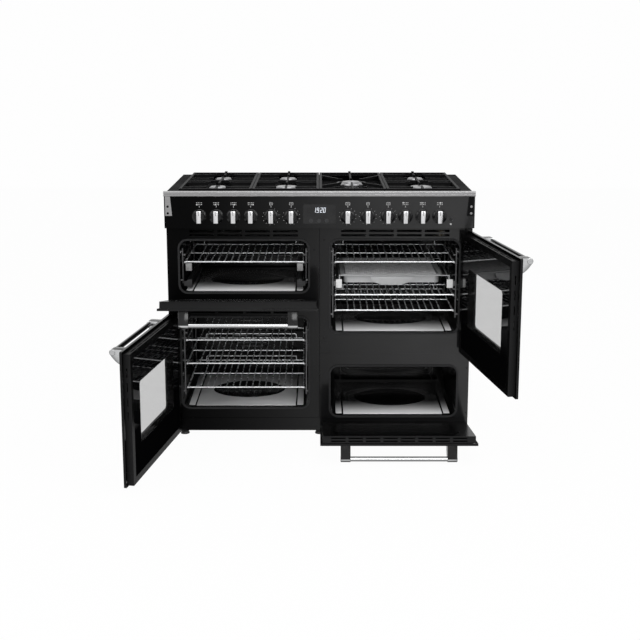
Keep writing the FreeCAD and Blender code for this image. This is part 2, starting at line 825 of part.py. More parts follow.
def door_tray(name):
    """Inner door tray with cooling slots; it carries the hinge arms or the inner glass."""
    side, bottom, top = door_rows(name)
    x0, x1 = door_span(side)
    x0, x1 = x0 + inner_inset, x1 - inner_inset
    z0, z1 = bottom + inner_inset, top - inner_inset
    y0, y1 = tray_front_y, door_inner_y
    box = block(x0, x1, y0, y1, z0, z1)
    hollow = block(
        x0 + inner_sheet, x1 - inner_sheet, y0 - past, y1 - inner_sheet, z0 + inner_sheet, z1 - inner_sheet
    )
    tray = box.cut(hollow)
    middle = side * door_centre_x
    tools = []
    rows = {"upper_left": upper_flap_slot_rows, "lower_right": lower_flap_slot_rows}
    for row in range(rows.get(name, side_door_slot_rows)):
        y = y1 - door_slot_first - row * door_slot_row_pitch
        for number in range(door_slot_count):
            x = middle + (number - (door_slot_count - 1) / 2) * door_slot_pitch
            tools.append(
                block(
                    x - door_slot_length / 2, x + door_slot_length / 2, y - door_slot_width / 2,
                    y + door_slot_width / 2, z1 - 2 * inner_sheet, z1 + past,
                )
            )
    if is_flap(name):
        centre, floor, height = cavity(name)
        half = cavity_width / 2 - plug_margin
        plug = rounded_block(
            centre - half, centre + half, y1 - inner_sheet, y1 + plug_height,
            floor + plug_margin, floor + height - plug_margin, cavity_radius - plug_margin / 2,
        )
        tray = tray.fuse(plug)
        tools += ear_notches(name, bottom)
        tray = cut(tray, tools)
        for x in flap_hinge_places(side):
            tray = tray.fuse(flap_arm(x, bottom + hinge_edge))
        return tray
    free_x = x0 if side > 0 else x1
    y = (y0 + y1) / 2
    for number in range(edge_slot_count):
        z = top - edge_slot_first - number * edge_slot_pitch
        tools.append(
            block(
                free_x - 2 * inner_sheet, free_x + 2 * inner_sheet, y - door_slot_width / 2,
                y + door_slot_width / 2, z - edge_slot_length / 2, z + edge_slot_length / 2,
            )
        )
    margin = inner_glass_margin + glass_lip
    tools.append(block(x0 + margin, x1 - margin, y1 - 2 * inner_sheet, y1 + past, z0 + margin, z1 - margin))
    return cut(tray, tools)


def flap_arm(x, axis_z):
    """The arm in a drop-down door's tray that turns on the fixed pin between the ears."""
    half = flap_arm_width / 2
    back = tray_front_y
    top = axis_z + flap_arm_rise
    front, rear = hinge_y - flap_ear_radius, hinge_y + flap_ear_radius
    low, high = x - half - past, x + half + past
    arm = block(x - half, x + half, back, door_inner_y, axis_z + flap_ear_radius, top)
    neck = block(x - half, x + half, front, rear, axis_z, top)
    middle = Vector(x - half, hinge_y, axis_z)
    eye = Part.makeCylinder(flap_ear_radius, flap_arm_width, middle, Vector(1, 0, 0))
    hole = round_bar(flap_pin_diameter + 2 * spindle_gap, (low, hinge_y, axis_z), (high, hinge_y, axis_z))
    return fuse([arm, neck, eye]).cut(hole)


def inner_glass(name):
    """The large inner glass of a tall door, held against the back of the tray's face."""
    side, bottom, top = door_rows(name)
    x0, x1 = door_span(side)
    margin = inner_inset + inner_glass_margin
    y1 = door_inner_y - inner_sheet
    return rounded_block(
        x0 + margin, x1 - margin, y1 - pane_thickness, y1, bottom + margin, top - margin, glass_radius
    )


def door_handle(name):
    """A round bar held at both ends by two swept posts."""
    side, bottom, top = door_rows(name)
    middle = side * door_centre_x
    bar_y, bar_z = door_outer_y - handle_reach, top - handle_drop
    low_z = top - handle_foot_drop
    nose = handle_nose_radius
    start = Vector(0, door_outer_y, bar_z + nose)
    tip = Vector(0, bar_y, bar_z + nose)
    front = Vector(0, bar_y - nose, bar_z)
    angle = math.radians(handle_tail_angle)
    under = Vector(0, bar_y - nose * math.cos(angle), bar_z - nose * math.sin(angle))
    foot = Vector(0, door_outer_y, low_z)
    sag = Vector(0, (under.y + foot.y) / 2 - handle_belly, (under.z + foot.z) / 2 - handle_belly)
    outline = Part.Wire(
        [
            Part.LineSegment(start, tip).toShape(),
            Part.Arc(tip, front, under).toShape(),
            Part.Arc(under, sag, foot).toShape(),
            Part.LineSegment(foot, start).toShape(),
        ]
    )
    post = Part.Face(outline).extrude(Vector(handle_post_width, 0, 0))
    posts = []
    for end in (-1, 1):
        low = middle + end * handle_length / 2 - (handle_post_width if end > 0 else 0)
        placed = post.translated(Vector(low, 0, 0))
        open_side = low if end > 0 else low + handle_post_width
        bore = round_bar(
            handle_bar_diameter + 2 * handle_bore_gap,
            (open_side - end, bar_y, bar_z),
            (open_side + end * handle_bore_depth, bar_y, bar_z),
        )
        posts.append(placed.cut(bore))
    reach = handle_length / 2 - handle_post_width + handle_bore_depth
    bar = round_bar(handle_bar_diameter, (middle - reach, bar_y, bar_z), (middle + reach, bar_y, bar_z))
    return group(posts + [bar])


# ---------------------------------------------------------------- shelves and rails
def wire_shelf(name, z):
    """A wire shelf: a rectangular frame, fore-and-aft rods and a raised stop along the back."""
    centre = cavity(name)[0]
    half = shelf_width / 2
    front, back = frame_y + shelf_setback, frame_y + shelf_setback + shelf_depth
    middle_y = (front + back) / 2
    lift = (wire - thin_wire) / 2
    wires = [
        wire_bar(wire, (centre - half, front, z), (centre + half, front, z)),
        wire_bar(wire, (centre - half, back, z), (centre + half, back, z)),
        wire_bar(wire, (centre - half, front, z), (centre - half, back, z)),
        wire_bar(wire, (centre + half, front, z), (centre + half, back, z)),
        wire_bar(thin_wire, (centre - half, middle_y, z - lift), (centre + half, middle_y, z - lift)),
    ]
    for number in range(shelf_rod_count):
        x = centre + (number - (shelf_rod_count - 1) / 2) * shelf_rod_pitch
        wires.append(wire_bar(thin_wire, (x, front, z + lift), (x, back, z + lift)))
    stop = (shelf_rod_count - 1) / 2 * shelf_rod_pitch + shelf_rod_pitch / 2
    end = stop + thin_wire / 2
    high = z + shelf_backstop
    wires += [
        wire_bar(thin_wire, (centre - stop, back, z), (centre - stop, back, high)),
        wire_bar(thin_wire, (centre + stop, back, z), (centre + stop, back, high)),
        wire_bar(thin_wire, (centre - end, back, high), (centre + end, back, high)),
    ]
    return fuse(wires)


def shelf_levels(name):
    """The heights of a cavity's shelves."""
    drops = {
        "upper_left": upper_left_shelves,
        "upper_right": upper_right_shelves,
        "lower_left": lower_left_shelves,
    }
    centre, floor, height = cavity(name)
    return [floor + height - drop for drop in drops[name]]


def rung_levels(name):
    """Rung heights: one under each shelf and a spare one above the top shelf."""
    drop = wire * math.cos(math.radians(30)) + seat_gap
    levels = shelf_levels(name)
    return [max(levels) - drop + spare_rung_drop] + [level - drop for level in levels]


def shelf_ladders():
    """Wire ladders on both walls of three cavities, each on four studs."""
    ladders = []
    for name in shelf_cavities:
        rungs = rung_levels(name)
        centre = cavity(name)[0]
        low, high = min(rungs) - ladder_foot, max(rungs) + ladder_foot
        if name in rail_levels:
            low = min(low, rail_levels[name] + rail_height / 2)
        front = frame_y + ladder_setback
        back = front + ladder_depth
        for side in (-1, 1):
            upright_x = centre + side * ladder_offset
            rung_x = centre + side * rung_offset
            wall_x = centre + side * cavity_width / 2
            wires = []
            for y in (front, back):
                wires.append(wire_bar(wire, (upright_x, y, low), (upright_x, y, high)))
                for z in (low + ladder_foot / 2, high - ladder_foot / 2):
                    wires.append(round_bar(stud_diameter, (upright_x, y, z), (wall_x, y, z)))
            for z in rungs:
                wires.append(wire_bar(wire, (rung_x, front - wire / 2, z), (rung_x, back + wire / 2, z)))
                for y in (front, back):
                    wires.append(wire_bar(wire, (rung_x, y, z), (upright_x + side * weld_bite, y, z)))
            ladders.append(fuse(wires))
    return group(ladders)


def slide_rails():
    """Channel-shaped slide rails in the two upper cavities, hooked on to the ladders."""
    rails = []
    for name, bottom in rail_levels.items():
        centre = cavity(name)[0]
        front = frame_y + rail_setback
        back = front + rail_depth
        top = bottom + rail_height
        for side in (-1, 1):
            near = centre + side * rail_inner
            far = centre + side * (rail_inner + rail_width)
            x0, x1 = sorted((near, far))
            channel = block(x0, x1, front, back, bottom, top)
            inner0, inner1 = sorted((near - side, far - side * rail_sheet))
            low, high = bottom + rail_sheet, top - rail_sheet
            hollow = block(inner0, inner1, front + rail_sheet, back + past, low, high)
            rail = channel.cut(hollow)
            tab_end = centre + side * (ladder_offset - wire / 2 - seat_gap)
            for y in (frame_y + ladder_setback, frame_y + ladder_setback + ladder_depth):
                t0, t1 = sorted((far - side * weld_bite, tab_end))
                low, high = bottom + rail_tab_inset, top - rail_tab_inset
                tab = block(t0, t1, y - wire / 2, y + wire / 2, low, high)
                rail = rail.fuse(tab)
            rails.append(rail)
    return group(rails)


def grill_pan():
    """Enamelled grill pan with a rim and a pulled-out front lip, and the wire cradle that carries it."""
    centre = cavity("upper_right")[0]
    middle = centre + pan_side_shift
    front = frame_y + rail_setback + pan_setback
    back = front + pan_depth
    half = pan_width / 2
    body_half = half - pan_rim
    bottom = pan_rim_z - pan_height
    body = rounded_block(
        middle - body_half, middle + body_half, front + pan_rim, back - pan_rim, bottom, pan_rim_z,
        pan_radius, Vector(0, 0, 1),
    )
    rim = rounded_block(
        middle - half, middle + half, front, back, pan_rim_z - pan_sheet, pan_rim_z, pan_radius + pan_rim / 2,
        Vector(0, 0, 1),
    )
    lip = Part.makeCylinder(
        pan_lip_radius, pan_height, Vector(middle, front + pan_rim + pan_lip_radius - pan_lip_reach, bottom)
    )
    lip = lip.common(block(middle - half, middle + half, front, front + 2 * pan_rim, bottom, pan_rim_z))
    hollow = rounded_block(
        middle - body_half + pan_sheet, middle + body_half - pan_sheet, front + pan_rim + pan_sheet,
        back - pan_rim - pan_sheet, bottom + pan_sheet, pan_rim_z + past, pan_radius - pan_sheet, Vector(0, 0, 1),
    )
    pan = fuse([body, rim, lip]).cut(hollow)
    side_z = rail_levels["upper_right"] + rail_height + seat_gap + wire / 2
    cross_z = pan_rim_z - pan_sheet - seat_gap - thin_wire / 2
    reach = rail_inner + rail_width / 2
    wires = []
    for side in (-1, 1):
        x = centre + side * reach
        wires.append(wire_bar(wire, (x, front, side_z), (x, back, side_z)))
        for y in (front + thin_wire / 2, back - thin_wire / 2):
            wires.append(wire_bar(thin_wire, (x, y, side_z), (x, y, cross_z + thin_wire / 2)))
    for y in (front + thin_wire / 2, back - thin_wire / 2):
        wires.append(wire_bar(thin_wire, (centre - reach, y, cross_z), (centre + reach, y, cross_z)))
    return group([pan, fuse(wires)])


# ---------------------------------------------------------------- fan
def fan_centre():
    """The X and Z of the fan's axis."""
    centre, floor, height = cavity("lower_left")
    return centre, floor + height / 2


def fan_cover():
    """Domed sheet cover over the fan, with slots in its face."""
    x, z = fan_centre()
    back = frame_y + cavity_depth
    front = back - fan_cover_depth
    half_x, half_z = fan_cover_width / 2, fan_cover_height / 2
    shell = rounded_block(x - half_x, x + half_x, front, back, z - half_z, z + half_z, cavity_radius)
    hollow = rounded_block(
        x - half_x + sheet, x + half_x - sheet, front + sheet, back + past, z - half_z + sheet,
        z + half_z - sheet, cavity_radius - sheet,
    )
    slots = []
    for number in range(fan_cover_slots):
        level = z + (number - (fan_cover_slots - 1) / 2) * fan_slot_pitch
        half = math.sqrt((fan_diameter / 2) ** 2 - (level - z) ** 2)
        low, high = level - fan_slot_width / 2, level + fan_slot_width / 2
        slots.append(block(x - half, x + half, front - past, front + 2 * sheet, low, high))
    return cut(shell.cut(hollow), slots)


def fan_wheel():
    """Stamped fan wheel with radial blades on a hub and the shaft that drives it."""
    x, z = fan_centre()
    back = frame_y + cavity_depth - fan_wheel_gap
    front = back - fan_thickness
    hub = round_bar(fan_hub_diameter, (x, front, z), (x, back, z))
    disc = round_bar(fan_disc_diameter, (x, back - sheet, z), (x, back, z))
    blades = []
    for number in range(fan_blade_count):
        reach = fan_diameter / 2
        blade = block(fan_hub_diameter / 2 - 2 * weld_bite, reach, front, back, -sheet / 2, sheet / 2)
        blade.rotate(Vector(0, 0, 0), Vector(0, 1, 0), 360 / fan_blade_count * number)
        blade.translate(Vector(x, 0, z))
        blades.append(blade)
    shaft_end = frame_y + cavity_depth + motor_clear + fan_shaft_reach
    shaft = round_bar(fan_shaft_diameter, (x, back, z), (x, shaft_end, z))
    return fuse([hub, disc, shaft] + blades)


def fan_motor():
    """The fan's motor behind the cavity, on three legs."""
    x, z = fan_centre()
    rear_wall = frame_y + cavity_depth + liner_sheet
    front = frame_y + cavity_depth + motor_clear
    body = round_bar(motor_diameter, (x, front, z), (x, front + motor_length, z))
    legs = []
    for number in range(3):
        angle = math.radians(90 + 120 * number)
        leg_x = x + motor_leg_circle / 2 * math.cos(angle)
        leg_z = z + motor_leg_circle / 2 * math.sin(angle)
        legs.append(round_bar(stud_diameter, (leg_x, rear_wall, leg_z), (leg_x, front + 2 * weld_bite, leg_z)))
    bore = round_bar(
        fan_shaft_diameter + 2 * spindle_gap, (x, front - past, z), (x, front + fan_shaft_reach + running_gap, z)
    )
    return fuse([body] + legs).cut(bore)


# ---------------------------------------------------------------- fascia, clock and controls
def fascia_panel():
    """Folded fascia with turned-in edges, spindle holes, the clock's window and the igniter's hole."""
    y0, y1 = fascia_y, frame_y
    outer = block(-half_body, half_body, y0, y1, fascia_bottom, fascia_top)
    inner = block(
        -half_body + fascia_sheet, half_body - fascia_sheet, y0 + fascia_sheet, y1 + past,
        fascia_bottom + fascia_sheet, fascia_top + past,
    )
    tools = [inner]
    deep = y0 + 2 * fascia_sheet
    for x in knob_x:
        tools.append(round_bar(spindle_diameter + 2 * running_gap, (x, y0 - past, knob_z), (x, deep, knob_z)))
    tools.append(
        rounded_block(
            -clock_width / 2, clock_width / 2, y0 - past, deep, clock_bottom, clock_top, clock_radius
        )
    )
    hole = button_diameter + 2 * running_gap
    tools.append(round_bar(hole, (button_x, y0 - past, button_z), (button_x, deep, button_z)))
    for side in (-1, 1):
        for z in screw_z:
            x = side * screw_place_x
            tools.append(round_bar(screw_diameter + 2 * running_gap, (x, y0 - past, z), (x, deep, z)))
    panel = cut(outer, tools)
    ends = []
    for x0 in (-half_body, half_body - fascia_sheet):
        x1 = x0 + fascia_sheet
        ends.append(block(x0, x1, hob_front_y, frame_y, fascia_top, hob_z - hob_sheet))
        ends.append(block(x0, x1, frame_y, frame_y + frame_sheet, frame_top, hob_z - hob_sheet))
    return fuse([panel] + ends)


def clock_window():
    """The dark glass over the clock and its touch keys, flush with the fascia."""
    lens = rounded_block(
        -clock_width / 2 + seat_gap, clock_width / 2 - seat_gap, fascia_y, fascia_y + clock_thickness,
        clock_bottom + seat_gap, clock_top - seat_gap, clock_radius - seat_gap,
    )
    rim = rounded_block(
        -clock_width / 2 - clock_thickness, clock_width / 2 + clock_thickness, fascia_y + fascia_sheet,
        fascia_y + fascia_sheet + clock_thickness, clock_bottom - clock_thickness, clock_top + clock_thickness,
        clock_radius,
    )
    return lens.fuse(rim)


def knob(x):
    """A control knob: a flat skirt, a raised collar, a bar grip and the spindle behind."""
    face = fascia_y - knob_fascia_gap
    top = knob_skirt_thickness + knob_collar_height
    skirt, collar = knob_skirt_diameter / 2, knob_collar_diameter / 2
    profile = [
        (0, 0), (skirt, 0), (skirt, knob_rim_thickness), (collar, knob_skirt_thickness),
        (collar - knob_collar_draft, top), (0, top), (0, 0),
    ]
    outline = Part.makePolygon([Vector(x + radius, face - rise, knob_z) for radius, rise in profile])
    body = Part.Face(outline).revolve(Vector(x, 0, knob_z), Vector(0, 1, 0), 360)
    grip = rounded_block(
        x - knob_grip_width / 2, x + knob_grip_width / 2, face - top - knob_grip_height, face - weld_bite,
        knob_z - knob_grip_length / 2, knob_z + knob_grip_length / 2, knob_grip_radius,
    )
    spindle = round_bar(spindle_diameter, (x, face - weld_bite, knob_z), (x, face + spindle_length, knob_z))
    return fuse([body, grip, spindle])


def igniter_button():
    """A small round push button with a collar behind the fascia."""
    tip = fascia_y - button_proud
    stem = round_bar(button_diameter, (button_x, tip, button_z), (button_x, fascia_y + button_stem, button_z))
    collar_y = fascia_y + fascia_sheet + seat_gap
    collar_end = collar_y + button_collar_thickness
    collar = round_bar(button_collar_diameter, (button_x, collar_y, button_z), (button_x, collar_end, button_z))
    return stem.fuse(collar)


def gas_taps():
    """Gas rail with its seven taps, five oven switches, the button's switch and the inlet pipe."""
    front = fascia_y + fascia_sheet + tap_setback
    back = front + tap_depth
    rail_y = back + gas_rail_diameter / 2 - gas_rail_bite
    pieces = []
    for x in knob_x:
        low, high = knob_z - tap_height / 2, knob_z + tap_height / 2
        tap = block(x - tap_width / 2, x + tap_width / 2, front, back, low, high)
        bore = round_bar(
            spindle_diameter + 2 * spindle_gap, (x, front - past, knob_z),
            (x, fascia_y - knob_fascia_gap + spindle_length + running_gap, knob_z),
        )
        pieces.append(tap.cut(bore))
    switch_front = fascia_y + button_stem + switch_travel + running_gap
    half = switch_width / 2
    pieces.append(
        block(button_x - half, button_x + half, switch_front, back, button_z - half, button_z + half)
    )
    end = half_body - gas_rail_side_gap
    pieces.append(round_bar(gas_rail_diameter, (-end, rail_y, knob_z), (end, rail_y, knob_z)))
    elbow = (inlet_x, rail_y, knob_z)
    drop = (inlet_x, rail_y, inlet_z)
    pieces.append(round_bar(gas_rail_diameter, elbow, drop))
    collar = (inlet_x, back_y - inlet_collar, inlet_z)
    pieces.append(round_bar(gas_rail_diameter, drop, collar))
    pieces.append(round_bar(inlet_diameter, collar, (inlet_x, back_y + inlet_proud, inlet_z)))
    pieces.append(Part.makeSphere(gas_rail_diameter / 2, Vector(*drop)))
    for x in (-rail_bracket_x, rail_bracket_x):
        x0, x1 = x - rail_bracket_width / 2, x + rail_bracket_width / 2
        pieces.append(block(x0, x1, rail_y, frame_y + frame_sheet, frame_top, knob_z))
    return fuse(pieces)


def front_rail():
    """Grooved bright rail under the hob's front edge, two end plates and their screws."""
    front = fascia_y - rail_proud
    end = half_body + rail_overhang
    bar = rounded_block(
        -end, end, front, hob_front_y, fascia_top, rail_top, rail_radius, Vector(1, 0, 0)
    )
    groove_z = rail_top - rail_groove_drop
    groove = block(
        -end - past, end + past, front - past, front + front_rail_groove,
        groove_z - front_rail_groove_height, groove_z,
    )
    solids = [bar.cut(groove)]
    for side in (-1, 1):
        edge = half_body - bracket_inset
        top = fascia_top
        corners = [
            (edge, top), (edge, bracket_bottom), (edge - bracket_width_bottom, bracket_bottom),
            (edge - bracket_width_top, top), (edge, top),
        ]
        y = fascia_y
        outline = Part.makePolygon([Vector(side * x, y, z) for x, z in corners])
        plate = Part.Face(outline).extrude(Vector(0, -bracket_thickness, 0))
        holes = []
        for z in screw_z:
            x = side * screw_place_x
            outside = y - bracket_thickness
            hole = screw_diameter + 2 * running_gap
            holes.append(round_bar(hole, (x, y + past, z), (x, outside - past, z)))
            shank = round_bar(screw_diameter, (x, y + fascia_sheet + screw_reach, z), (x, outside, z))
            head = round_bar(screw_head_diameter, (x, outside, z), (x, outside - screw_head_height, z))
            solids.append(shank.fuse(head))
        solids.append(cut(plate, holes))
    return group(solids)


# ---------------------------------------------------------------- hob
def hob_top():
    """Pressed hob plate: a flat rim, a sunk well and a turned-down skirt."""
    front = hob_front_y
    top = hob_z
    rim = block(-half_body, half_body, front, back_y, top - hob_sheet, top)
    back_skirt = block(-half_body, half_body, back_y, back_y + hob_sheet, top - hob_skirt, top)
    well_outer = rounded_block(
        -well_half_width - hob_sheet, well_half_width + hob_sheet, ahead(-well_front) - hob_sheet,
        ahead(-well_back) + hob_sheet, well_floor_z - hob_sheet, top, well_radius + hob_sheet, Vector(0, 0, 1),
    )
    well_inner = rounded_block(
        -well_half_width, well_half_width, ahead(-well_front), ahead(-well_back), well_floor_z, top + past,
        well_radius, Vector(0, 0, 1),
    )
    hob = fuse([rim, back_skirt, well_outer]).cut(well_inner)
    holes = []
    for x, distance, size in burner_places():
        y = ahead(-distance)
        bottom = well_floor_z - 2 * hob_sheet
        holes.append(round_bar(size * burner_throat, (x, y, bottom), (x, y, well_floor_z + past)))
    return cut(hob, holes)


def burner_places():
    """The X, distance behind the frame face and diameter of each burner."""
    centres = [(grate_edges[n] + grate_edges[n + 1]) / 2 for n in range(4)]
    outer = {0: centres[0], 1: centres[1], 3: centres[3]}
    places = []
    for column, x in outer.items():
        front_size = large_burner if column else small_burner
        places.append((x, burner_front, front_size))
        places.append((x, burner_rear, small_burner))
    places.append((centres[2], burner_middle, wok_burner))
    return places


def burner_bases():
    """Cast burner bodies: a tapered throat through the hob plate and a round spreader dish."""
    bases = []
    for x, distance, size in burner_places():
        y = ahead(-distance)
        foot = size / 2 - burner_dish_draft
        dish = Part.makeCone(foot, size / 2, burner_base_height, Vector(x, y, well_floor_z))
        throat = round_bar(
            size * burner_throat - 2 * running_gap, (x, y, well_floor_z - burner_throat_drop),
            (x, y, well_floor_z + weld_bite),
        )
        bases.append(dish.fuse(throat))
    return group(bases)


def burner_crowns():
    """Slotted flame rings with a cap on each, ringed by flame ports."""
    crowns = []
    for x, distance, size in burner_places():
        y = ahead(-distance)
        z0 = well_floor_z + burner_base_height
        radius = size / 2 - burner_crown_inset
        ring = Part.makeCylinder(radius, burner_crown_height, Vector(x, y, z0))
        slots = []
        for number in range(burner_slots):
            slot = block(
                radius - burner_slot_depth, radius + past, -burner_slot_width / 2, burner_slot_width / 2,
                z0 + burner_slot_floor, z0 + burner_crown_height + past,
            )
            slot.rotate(Vector(0, 0, 0), Vector(0, 0, 1), 360 / burner_slots * number)
            slot.translate(Vector(x, y, 0))
            slots.append(slot)
        cap_z = z0 + burner_crown_height
        cap_radius = radius - burner_cap_inset
        cap = Part.makeCone(cap_radius, cap_radius - burner_cap_draft, burner_cap_height, Vector(x, y, cap_z))
        crown = cut(ring, slots).fuse(cap)
        if size == wok_burner:
            low, high = radius * wok_crown_low, radius * wok_crown_high
            inner = Part.makeCone(low, high, wok_crown_height, Vector(x, y, cap_z + burner_cap_height))
            crown = crown.fuse(inner)
        crowns.append(crown)
    return group(crowns)


def grate_bar(x0, x1, y0, y1):
    """One straight bar of a pan support."""
    return block(x0, x1, y0, y1, grate_top - grate_bar_height, grate_top)


def finger(start, end):
    """A pan support's finger from a frame bar to its sloped, raised tip."""
    start, end = Vector(start[0], start[1], 0), Vector(end[0], end[1], 0)
    along = end.sub(start)
    length = along.Length
    half = finger_width / 2
    low, high = grate_top - grate_bar_height, grate_top
    tip = high - finger_tip_height
    corners = [
        (0, low), (length - grate_bar_height, low), (length, tip), (length, tip + grate_tip_rise),
        (length - finger_slope, high), (0, high), (0, low),
    ]
    outline = Part.makePolygon([Vector(reach, -half, z) for reach, z in corners])
    shape = Part.Face(outline).extrude(Vector(0, 2 * half, 0))
    shape.rotate(Vector(0, 0, 0), Vector(0, 0, 1), math.degrees(math.atan2(along.y, along.x)))
    shape.translate(start)
    return shape


def pan_supports():
    """Four cast pan supports: frames on feet, with fingers that reach towards the burners."""
    supports = []
    bar = grate_bar_width
    front, back = ahead(grate_front), ahead(grate_back)
    for column in range(4):
        x0, x1 = grate_edges[column] + grate_gap, grate_edges[column + 1] - grate_gap
        middle = (grate_edges[column] + grate_edges[column + 1]) / 2
        pieces = [
            grate_bar(x0, x1, front, front + bar), grate_bar(x0, x1, back - bar, back),
            grate_bar(x0, x0 + bar, front, back), grate_bar(x1 - bar, x1, front, back),
        ]
        for x in (x0, x1 - bar):
            for y in (front, back - bar):
                pieces.append(block(x, x + bar, y, y + bar, well_floor_z + seat_gap, grate_top))
        nub = block(
            middle - bar / 2, middle + bar / 2, back - 2 * bar, back, grate_top - grate_bar_height,
            grate_top + grate_tip_rise,
        )
        pieces.append(nub)
        if column == 2:
            centre_y = ahead(-burner_middle)
            reach = wok_burner / 2 - grate_tip_cover
            for x in (x0 + bar / 2, x1 - bar / 2):
                for y in (front + wok_arm_inset, back - wok_arm_inset):
                    toward = Vector(x - middle, y - centre_y, 0).normalize().multiply(reach)
                    pieces.append(finger((x, y), (middle + toward.x, centre_y + toward.y)))
            pieces.append(finger((middle, front + bar / 2), (middle, centre_y - reach)))
            pieces.append(finger((middle, back - bar / 2), (middle, centre_y + reach)))
        else:
            front_size = large_burner if column else small_burner
            front_gap = front_size / 2 - grate_tip_cover
            rear_gap = small_burner / 2 - grate_tip_cover
            mid_y = ahead(-(burner_front + burner_rear) / 2)
            pieces.append(finger((middle, front + bar / 2), (middle, ahead(-burner_front) - front_gap)))
            pieces.append(finger((middle, mid_y), (middle, ahead(-burner_front) + front_gap)))
            pieces.append(finger((middle, mid_y), (middle, ahead(-burner_rear) - rear_gap)))
            pieces.append(finger((middle, back - bar / 2), (middle, ahead(-burner_rear) + rear_gap)))
            pieces.append(grate_bar(x0, x1, mid_y - bar / 2, mid_y + bar / 2))
            for row in grate_rows:
                y = ahead(-row)
                pieces.append(finger((x0 + bar / 2, y), (middle - grate_finger_gap, y)))
                pieces.append(finger((x1 - bar / 2, y), (middle + grate_finger_gap, y)))
        supports.append(fuse(pieces))
    return group(supports)


# ---------------------------------------------------------------- all parts
def build():
    """Every part by its name."""
    parts = {
        "base_frame": base_frame(),
        "levelling_feet": levelling_feet(),
        "side_panels": side_panels(),
        "back_panel": back_panel(),
        "front_frame": front_frame(),
        "hob_top": hob_top(),
        "front_rail": front_rail(),
        "fascia_panel": fascia_panel(),
        "clock_window": clock_window(),
        "door_seals": door_seals(),
        "shelf_ladders": shelf_ladders(),
        "slide_rails": slide_rails(),
        "burner_bases": burner_bases(),
        "burner_crowns": burner_crowns(),
        "pan_supports": pan_supports(),
        "gas_taps": gas_taps(),
        "fan_cover": fan_cover(),
        "fan_motor": fan_motor(),
        "fan_wheel": fan_wheel(),
        "grill_pan": grill_pan(),
        "igniter_button": igniter_button(),
    }
    for name in cavity_names:
        parts[name + "_liner"] = oven_liner(name)
        parts[name + "_door_panel"] = door_opened(door_panel(name), name)
        parts[name + "_door_tray"] = door_opened(door_tray(name), name)
        parts[name + "_door_handle"] = door_opened(door_handle(name), name)
        if not is_flap(name):
            parts[name + "_door_glass"] = door_opened(inner_glass(name), name)
            parts[name + "_door_window"] = door_opened(window_pane(name), name)
    for name in shelf_cavities:
        for number, level in enumerate(shelf_levels(name), 1):
            parts[name + "_shelf_" + str(number)] = wire_shelf(name, level)
    for number, x in enumerate(knob_x, 1):
        parts["knob_" + str(number)] = knob(x)
    return parts


os.makedirs("parts", exist_ok=True)
for part_name, shape in build().items():
    shape.exportStep("parts/" + part_name + ".step")
    print(part_name, len(shape.Solids), shape.isValid())
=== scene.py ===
import logging
import math
from dataclasses import dataclass, field
from enum import Enum
from typing import Sequence

import bpy
from mathutils import Matrix, Vector


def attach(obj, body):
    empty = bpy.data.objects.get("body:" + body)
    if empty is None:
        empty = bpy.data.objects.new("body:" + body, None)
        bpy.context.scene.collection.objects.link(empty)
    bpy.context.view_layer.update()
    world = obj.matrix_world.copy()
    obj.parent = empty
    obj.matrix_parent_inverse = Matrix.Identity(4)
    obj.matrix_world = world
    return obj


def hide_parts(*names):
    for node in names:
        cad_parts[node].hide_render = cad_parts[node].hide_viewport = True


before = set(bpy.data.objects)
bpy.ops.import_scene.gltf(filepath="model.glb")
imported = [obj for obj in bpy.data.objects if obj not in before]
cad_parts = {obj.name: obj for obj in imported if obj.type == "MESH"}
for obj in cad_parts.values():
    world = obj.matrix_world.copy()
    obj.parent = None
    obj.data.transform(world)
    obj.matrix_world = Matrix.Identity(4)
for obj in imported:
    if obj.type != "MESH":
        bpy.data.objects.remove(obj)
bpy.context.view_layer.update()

LOG = logging.getLogger("range_cooker")
MM = 0.001
CORNER_ANGLE = 80.0
CUT_DEPTH = 60.0
Point = tuple[float, float, float]
Colour = tuple[float, float, float]


# ---------------------------------------------------------------- modelling helpers
def deselect() -> None:
    """Leave edit mode and clear the selection."""
    if bpy.context.object and bpy.context.object.mode != "OBJECT":
        bpy.ops.object.mode_set(mode="OBJECT")
    bpy.ops.object.select_all(action="DESELECT")


def pick(*pieces: bpy.types.Object) -> None:
    """Select only these pieces and make the first one active.

    Args:
        pieces: The pieces to select.
    """
    deselect()
    for piece in pieces:
        piece.select_set(True)
    bpy.context.view_layer.objects.active = pieces[0]


def settle(piece: bpy.types.Object, name: str) -> bpy.types.Object:
    """Name a piece and move its place, turn and scale into its mesh.

    Args:
        piece: The piece to settle.
        name: The name it gets.

    Returns:
        The same piece, with its object at the origin.
    """
    pick(piece)
    bpy.ops.object.transform_apply(location=True, rotation=True, scale=True)
    piece.name = name
    piece.data.name = name
    return piece


def box(name: str, low: Sequence[float], high: Sequence[float]) -> bpy.types.Object:
    """Add a block between two corners, in millimetres.

    Args:
        name: The piece's name.
        low: The lowest corner.
        high: The highest corner.

    Returns:
        The new block.
    """
    deselect()
    size = [(b - a) * MM for a, b in zip(low, high)]
    middle = [(a + b) / 2 * MM for a, b in zip(low, high)]
    bpy.ops.mesh.primitive_cube_add(size=1, location=middle)
    piece = bpy.context.object
    piece.scale = size
    return settle(piece, name)


def rod(name: str, radius: float, start: Point, end: Point, sides: int = 24) -> bpy.types.Object:
    """Add a cylinder from one point to another, in millimetres.

    Args:
        name: The piece's name.
        radius: The cylinder's radius.
        start: The middle of its first end.
        end: The middle of its other end.
        sides: How many sides it is drawn with.

    Returns:
        The new cylinder.
    """
    deselect()
    first, last = Vector(start) * MM, Vector(end) * MM
    along = last - first
    turn = along.to_track_quat("Z", "Y").to_euler()
    bpy.ops.mesh.primitive_cylinder_add(
        vertices=sides, radius=radius * MM, depth=along.length, location=(first + last) / 2, rotation=turn
    )
    return settle(bpy.context.object, name)


